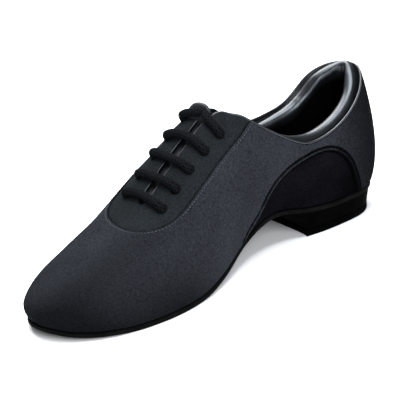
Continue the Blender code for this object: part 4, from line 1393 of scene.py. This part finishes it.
def make_stitches(settings):
    """The stitches: short round threads with closed ends, one in every pitch of the groove at the facing."""
    inset, pitch, height = settings.stitch_inset, settings.stitch_pitch, 0.00002
    rows = [stitch_row(facing_line(side, LINE_STEP), side, inset, pitch, height) for side in (1, -1)]
    middle, along, out = (np.concatenate(part)[:, None, None] for part in zip(*rows))
    half = pitch * 0.30
    lengths = np.array([-1, -0.96, -0.75, 0, 0.75, 0.96, 1])[:, None, None]
    sizes = np.array([0, 0.55, 0.95, 1, 0.95, 0.55, 0])[:, None, None] * settings.stitch_radius
    sink = np.array([-0.7, -0.5, -0.1, 0.15, -0.1, -0.5, -0.7])[:, None, None] * settings.stitch_radius
    angles = np.linspace(0, 2 * math.pi, 7)[None, :, None]
    shapes = lengths * half * along + sizes * np.cos(angles) * np.cross(along, out)
    shapes = shapes + (sink + sizes * np.sin(angles)) * out + middle
    return new_piece("seam_stitches", [grid(shape) for shape in shapes], "thread")


# Sole, insole, heel and lift


def sole_margin(arcs):
    """How far the outsole stands out past the feather edge: nothing at the heel, its margin at the
    forefoot."""
    return SOLE_MARGIN * ease((share_of(arcs) - 0.42) / 0.2)


def sole_edges(arcs, offset):
    """The feather edge on the inner and the outer side, moved level outwards by an offset."""
    edges = []
    for side in (1, -1):
        out = outward(arcs, side)
        out[:, 2] = 0
        edges.append(place(arcs, side) + unit(out) * np.reshape(offset, (-1, 1)))
    return np.array(edges)


def slab_grids(arcs, offset, profile):
    """A slab with the foot's outline. A profile is a list of insets from the edge and heights; past the last
    inset the surface runs on to the foot's middle line, where both sides join."""
    middle_arcs = np.clip(arcs, float(arc_of(0.10)), float(arc_of(0.90)))
    middle = sole_edges(middle_arcs, 0 * arcs).mean(0)
    grids = []
    for side, edge in zip((1, -1), sole_edges(arcs, offset)):
        inwards = middle - edge
        width = np.maximum(np.linalg.norm(inwards[:, :2], axis=1)[:, None], 1e-6)
        rows = []
        for inset, height in profile:
            part = np.clip(inset / width, 0, 1) if inset >= 0 else -inset
            rows.append(edge + inwards * part + (0, 0, height))
        grids.append(grid(np.array(rows), side < 0))
    return grids


def rounded_profile(low, high, radius):
    """A slab's profile from its underside's middle round its edge to its top's middle. A negative inset is a
    share of the way to the middle line."""
    insets = (-1.0, -0.75, -0.5, -0.25, radius * 3)
    quarter = np.linspace(0, math.pi / 2, 4)
    rows = [(inset, low) for inset in insets]
    for t in quarter:
        rows.append((radius * (1 - math.sin(t)), low + radius * (1 - math.cos(t))))
    for t in quarter:
        rows.append((radius * (1 - math.cos(t)), high - radius * (1 - math.sin(t))))
    return rows + [(inset, high) for inset in reversed(insets)]


def make_outsole(settings):
    """The outsole: a thin suede slab with rounded edges that carries the upper."""
    arcs = np.linspace(0, 1, 220)
    profile = rounded_profile(-GAP - SOLE_THICKNESS, -GAP, settings.edge)
    grids = slab_grids(arcs, sole_margin(arcs), profile)
    return new_piece("suede_outsole", grids, "suede", ("outsole",))


def make_insole(settings):
    """The insole: a thin slab inside the foot of the upper."""
    arcs = np.linspace(0, 1, 160)
    profile = rounded_profile(SOFT_GAP, SOFT_GAP + settings.insole_thickness, 0.0005)
    grids = slab_grids(arcs, np.full(len(arcs), -WALL - SOFT_GAP), profile)
    return new_piece("lined_insole", grids, "dark_lining", ("insole",))


def heel_loop(level, inset):
    """The heel's outline at a level, 0 at the lift and 1 at the seat: round the back, then over the breast
    with rounded corners. Its heights are those of the feather edge."""
    front = float(arc_of((HEEL_LENGTH + BREAST_SLOPE * level**1.5) / LENGTH))
    arcs = np.linspace(0, front, 60)
    inner, outer = sole_edges(arcs, -HEEL_INSET - inset)
    taper = HEEL_TAPER * (1 - level) * (1 - arcs / front)
    inner[:, 1] -= taper
    outer[:, 1] -= taper
    t = np.linspace(0, 1, 26)[1:-1, None]
    across = inner[-1] + (outer[-1] - inner[-1]) * t
    across[:, 1] += BREAST_HOLLOW * np.sin(math.pi * t[:, 0]) ** 0.6 + inset
    return np.concatenate([inner, across, outer[::-1]])


def heel_grid(levels):
    """A closed grid of the heel's outline: rows with a level, an inset, a height, and how far that height
    gives way to the outsole's underside, then caps to the middle of the first and the last."""
    rows = []
    for level, inset, height, blend in levels:
        loop = heel_loop(level, inset)
        top = loop[:, 2] - GAP - SOLE_THICKNESS + 0.0001
        loop[:, 2] = height * (1 - blend) + top * blend
        rows.append(loop)
    under, over = ([row * (1 - t) + row.mean(0) * t for t in (0.5, 1.0)] for row in (rows[0], rows[-1]))
    points = np.array(under[::-1] + rows + over)
    return grid(np.concatenate([points, points[:, :1]], 1))


def make_heel():
    """The heel block and its lift: the outline's levels stacked up, with small rounded edges at the joint."""
    low = LIFT_THICKNESS
    block = [(0, 0.0006, low + 0.0001, 0), (0, 0.0001, low + 0.0005, 0)]
    block += [(level, 0, low, level) for level in np.linspace(0.04, 1, 24)]
    lift = [
        (0, 0.0008, 0, 0),
        (0, 0.0002, 0.0002, 0),
        (0, 0, 0.0008, 0),
        (0, 0, low - 0.0006, 0),
        (0, 0.0002, low - 0.0001, 0),
        (0, 0.0007, low, 0),
    ]
    for name, node, levels in (("heel_block", "heel", block), ("heel_tread", "heel_lift", lift)):
        # Near-black rubber: a black heel with painted shade on it
        new_piece(name, [heel_grid(levels)], "black_rubber", (node,))


# Stage


def camera_axes(settings):
    """The camera's right, up and backward directions from its azimuth, elevation and roll."""
    azimuth, elevation, roll = np.radians([settings.azimuth, settings.elevation, settings.roll])
    flat = math.cos(elevation)
    back = np.array([math.sin(azimuth) * flat, -math.cos(azimuth) * flat, math.sin(elevation)])
    right = np.array([math.cos(azimuth), math.sin(azimuth), 0.0])
    up = np.cross(back, right)
    return math.cos(roll) * right + math.sin(roll) * up, math.cos(roll) * up - math.sin(roll) * right, back


# The lights: name, place, size in metres, power in watts and colour. They look at the middle of the shoe.
LIGHTS = (
    ("key", (-1.1, 0.4, 1.2), 1.2, 40, (1.0, 0.99, 0.98)),
    ("top", (0.0, 0.0, 1.9), 1.3, 56, (0.94, 0.97, 1.0)),
    ("fill", (1.4, -0.5, 0.8), 1.0, 26, (0.97, 0.98, 1.0)),
)
LIGHT_AIM = (0, 0, 0.04)

# How far the picture's middle lies to the right of the aim and above it
PICTURE_SHIFT = (0.0018, 0.0025)


def add_light(name, where, size, energy, colour):
    """A square soft light that looks at the shoe."""
    data = bpy.data.lights.new(name, "AREA")
    data.shape = "SQUARE"
    data.size = size
    data.energy = energy
    data.color = colour
    light = bpy.data.objects.new(name, data)
    light.location = where
    light.rotation_euler = (Vector(LIGHT_AIM) - Vector(where)).to_track_quat("-Z", "Y").to_euler()
    bpy.context.scene.collection.objects.link(light)


def make_stage(settings):
    """A plain white floor, an even sky, three soft lights and the camera at the photo's angle."""
    scene = bpy.context.scene
    mesh = bpy.data.meshes.new("floor")
    half = 6.0
    corners = [(-half, -half, 0), (half, -half, 0), (half, half, 0), (-half, half, 0)]
    mesh.from_pydata(corners, [], [(0, 1, 2, 3)])
    mesh.materials.append(bpy.data.materials["white_floor"])
    floor = bpy.data.objects.new("floor", mesh)
    scene.collection.objects.link(floor)
    world = bpy.data.worlds.new("studio")
    world.use_nodes = True
    even_light = world.node_tree.nodes["Background"].inputs
    even_light["Color"].default_value = (0.97, 0.985, 1.0, 1)
    even_light["Strength"].default_value = settings.sky
    scene.world = world
    scene.view_settings.view_transform = "Standard"
    for row in LIGHTS:
        add_light(*row)
    right, up, back = camera_axes(settings)
    data = bpy.data.cameras.new("camera")
    data.lens = settings.lens
    data.sensor_width = 36
    data.clip_start = 0.05
    camera = bpy.data.objects.new("camera", data)
    middle = np.array(settings.aim) + PICTURE_SHIFT[0] * right + PICTURE_SHIFT[1] * up
    turned = Matrix(np.stack([right, up, back], 1).tolist()).to_4x4()
    camera.matrix_world = Matrix.Translation(middle + settings.distance * back) @ turned
    scene.collection.objects.link(camera)
    scene.camera = camera


# Operators and panel


class SHOE_OT_materials(bpy.types.Operator):
    """Makes the shoe's materials"""

    bl_idname = "shoe.materials"
    bl_label = "Materials"

    def execute(self, context):
        make_materials()
        return {"FINISHED"}


class SHOE_OT_fabric(bpy.types.Operator):
    """Builds the vamp and quarters, the facing, the arch panels and the lining"""

    bl_idname = "shoe.fabric"
    bl_label = "Fabric upper"

    def execute(self, context):
        settings = context.scene.shoe_upper
        make_vamp(settings)
        make_facing(settings)
        make_arch_panels()
        make_lining()
        return {"FINISHED"}


class SHOE_OT_stitches(bpy.types.Operator):
    """Builds the stitches"""

    bl_idname = "shoe.stitches"
    bl_label = "Stitches"

    def execute(self, context):
        make_stitches(context.scene.shoe_upper)
        return {"FINISHED"}


class SHOE_OT_collar(bpy.types.Operator):
    """Builds the bead, the valley and the padded roll"""

    bl_idname = "shoe.collar"
    bl_label = "Collar"

    def execute(self, context):
        make_bead(context.scene.shoe_collar)
        make_valley(context.scene.shoe_collar)
        make_roll(context.scene.shoe_collar)
        return {"FINISHED"}


class SHOE_OT_tongue(bpy.types.Operator):
    """Builds the tongue"""

    bl_idname = "shoe.tongue"
    bl_label = "Tongue"

    def execute(self, context):
        make_tongue(context.scene.shoe_sole)
        return {"FINISHED"}


class SHOE_OT_laces(bpy.types.Operator):
    """Builds the laces"""

    bl_idname = "shoe.laces"
    bl_label = "Laces"

    def execute(self, context):
        make_laces(context.scene.shoe_laces)
        return {"FINISHED"}


class SHOE_OT_sole(bpy.types.Operator):
    """Builds the outsole, the insole, the heel and its lift"""

    bl_idname = "shoe.sole"
    bl_label = "Sole and heel"

    def execute(self, context):
        settings = context.scene.shoe_sole
        make_outsole(settings)
        make_insole(settings)
        make_heel()
        return {"FINISHED"}


class SHOE_OT_stage(bpy.types.Operator):
    """Builds the floor, the light and the camera"""

    bl_idname = "shoe.stage"
    bl_label = "Stage"

    def execute(self, context):
        make_stage(context.scene.shoe_stage)
        return {"FINISHED"}


class SHOE_PT_panel(bpy.types.Panel):
    """The shoe's steps in the sidebar, in the order they are run"""

    bl_label = "Dance Shoe"
    bl_idname = "SHOE_PT_panel"
    bl_space_type = "VIEW_3D"
    bl_region_type = "UI"
    bl_category = "Dance Shoe"

    def draw(self, context):
        for operator in OPERATORS:
            self.layout.operator(operator.bl_idname)


SETTINGS = {
    "shoe_upper": ShoeUpperSettings,
    "shoe_collar": ShoeCollarSettings,
    "shoe_laces": ShoeLaceSettings,
    "shoe_sole": ShoeSoleSettings,
    "shoe_stage": ShoeStageSettings,
}
OPERATORS = (
    SHOE_OT_materials,
    SHOE_OT_fabric,
    SHOE_OT_stitches,
    SHOE_OT_collar,
    SHOE_OT_tongue,
    SHOE_OT_laces,
    SHOE_OT_sole,
    SHOE_OT_stage,
)


def register():
    """Registers the settings, the operators and the panel."""
    for name, kind in SETTINGS.items():
        bpy.utils.register_class(kind)
        setattr(bpy.types.Scene, name, PointerProperty(type=kind))
    for operator in OPERATORS:
        bpy.utils.register_class(operator)
    bpy.utils.register_class(SHOE_PT_panel)


def unregister():
    """Takes back what register added."""
    bpy.utils.unregister_class(SHOE_PT_panel)
    for operator in reversed(OPERATORS):
        bpy.utils.unregister_class(operator)
    for name, kind in reversed(SETTINGS.items()):
        delattr(bpy.types.Scene, name)
        bpy.utils.unregister_class(kind)


def main():
    """Builds the whole shoe in order."""
    register()
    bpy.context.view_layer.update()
    bpy.ops.shoe.materials()
    bpy.ops.shoe.fabric()
    bpy.ops.shoe.stitches()
    bpy.ops.shoe.collar()
    bpy.ops.shoe.tongue()
    bpy.ops.shoe.laces()
    bpy.ops.shoe.sole()
    bpy.ops.shoe.stage()


if __name__ == "__main__":
    main()
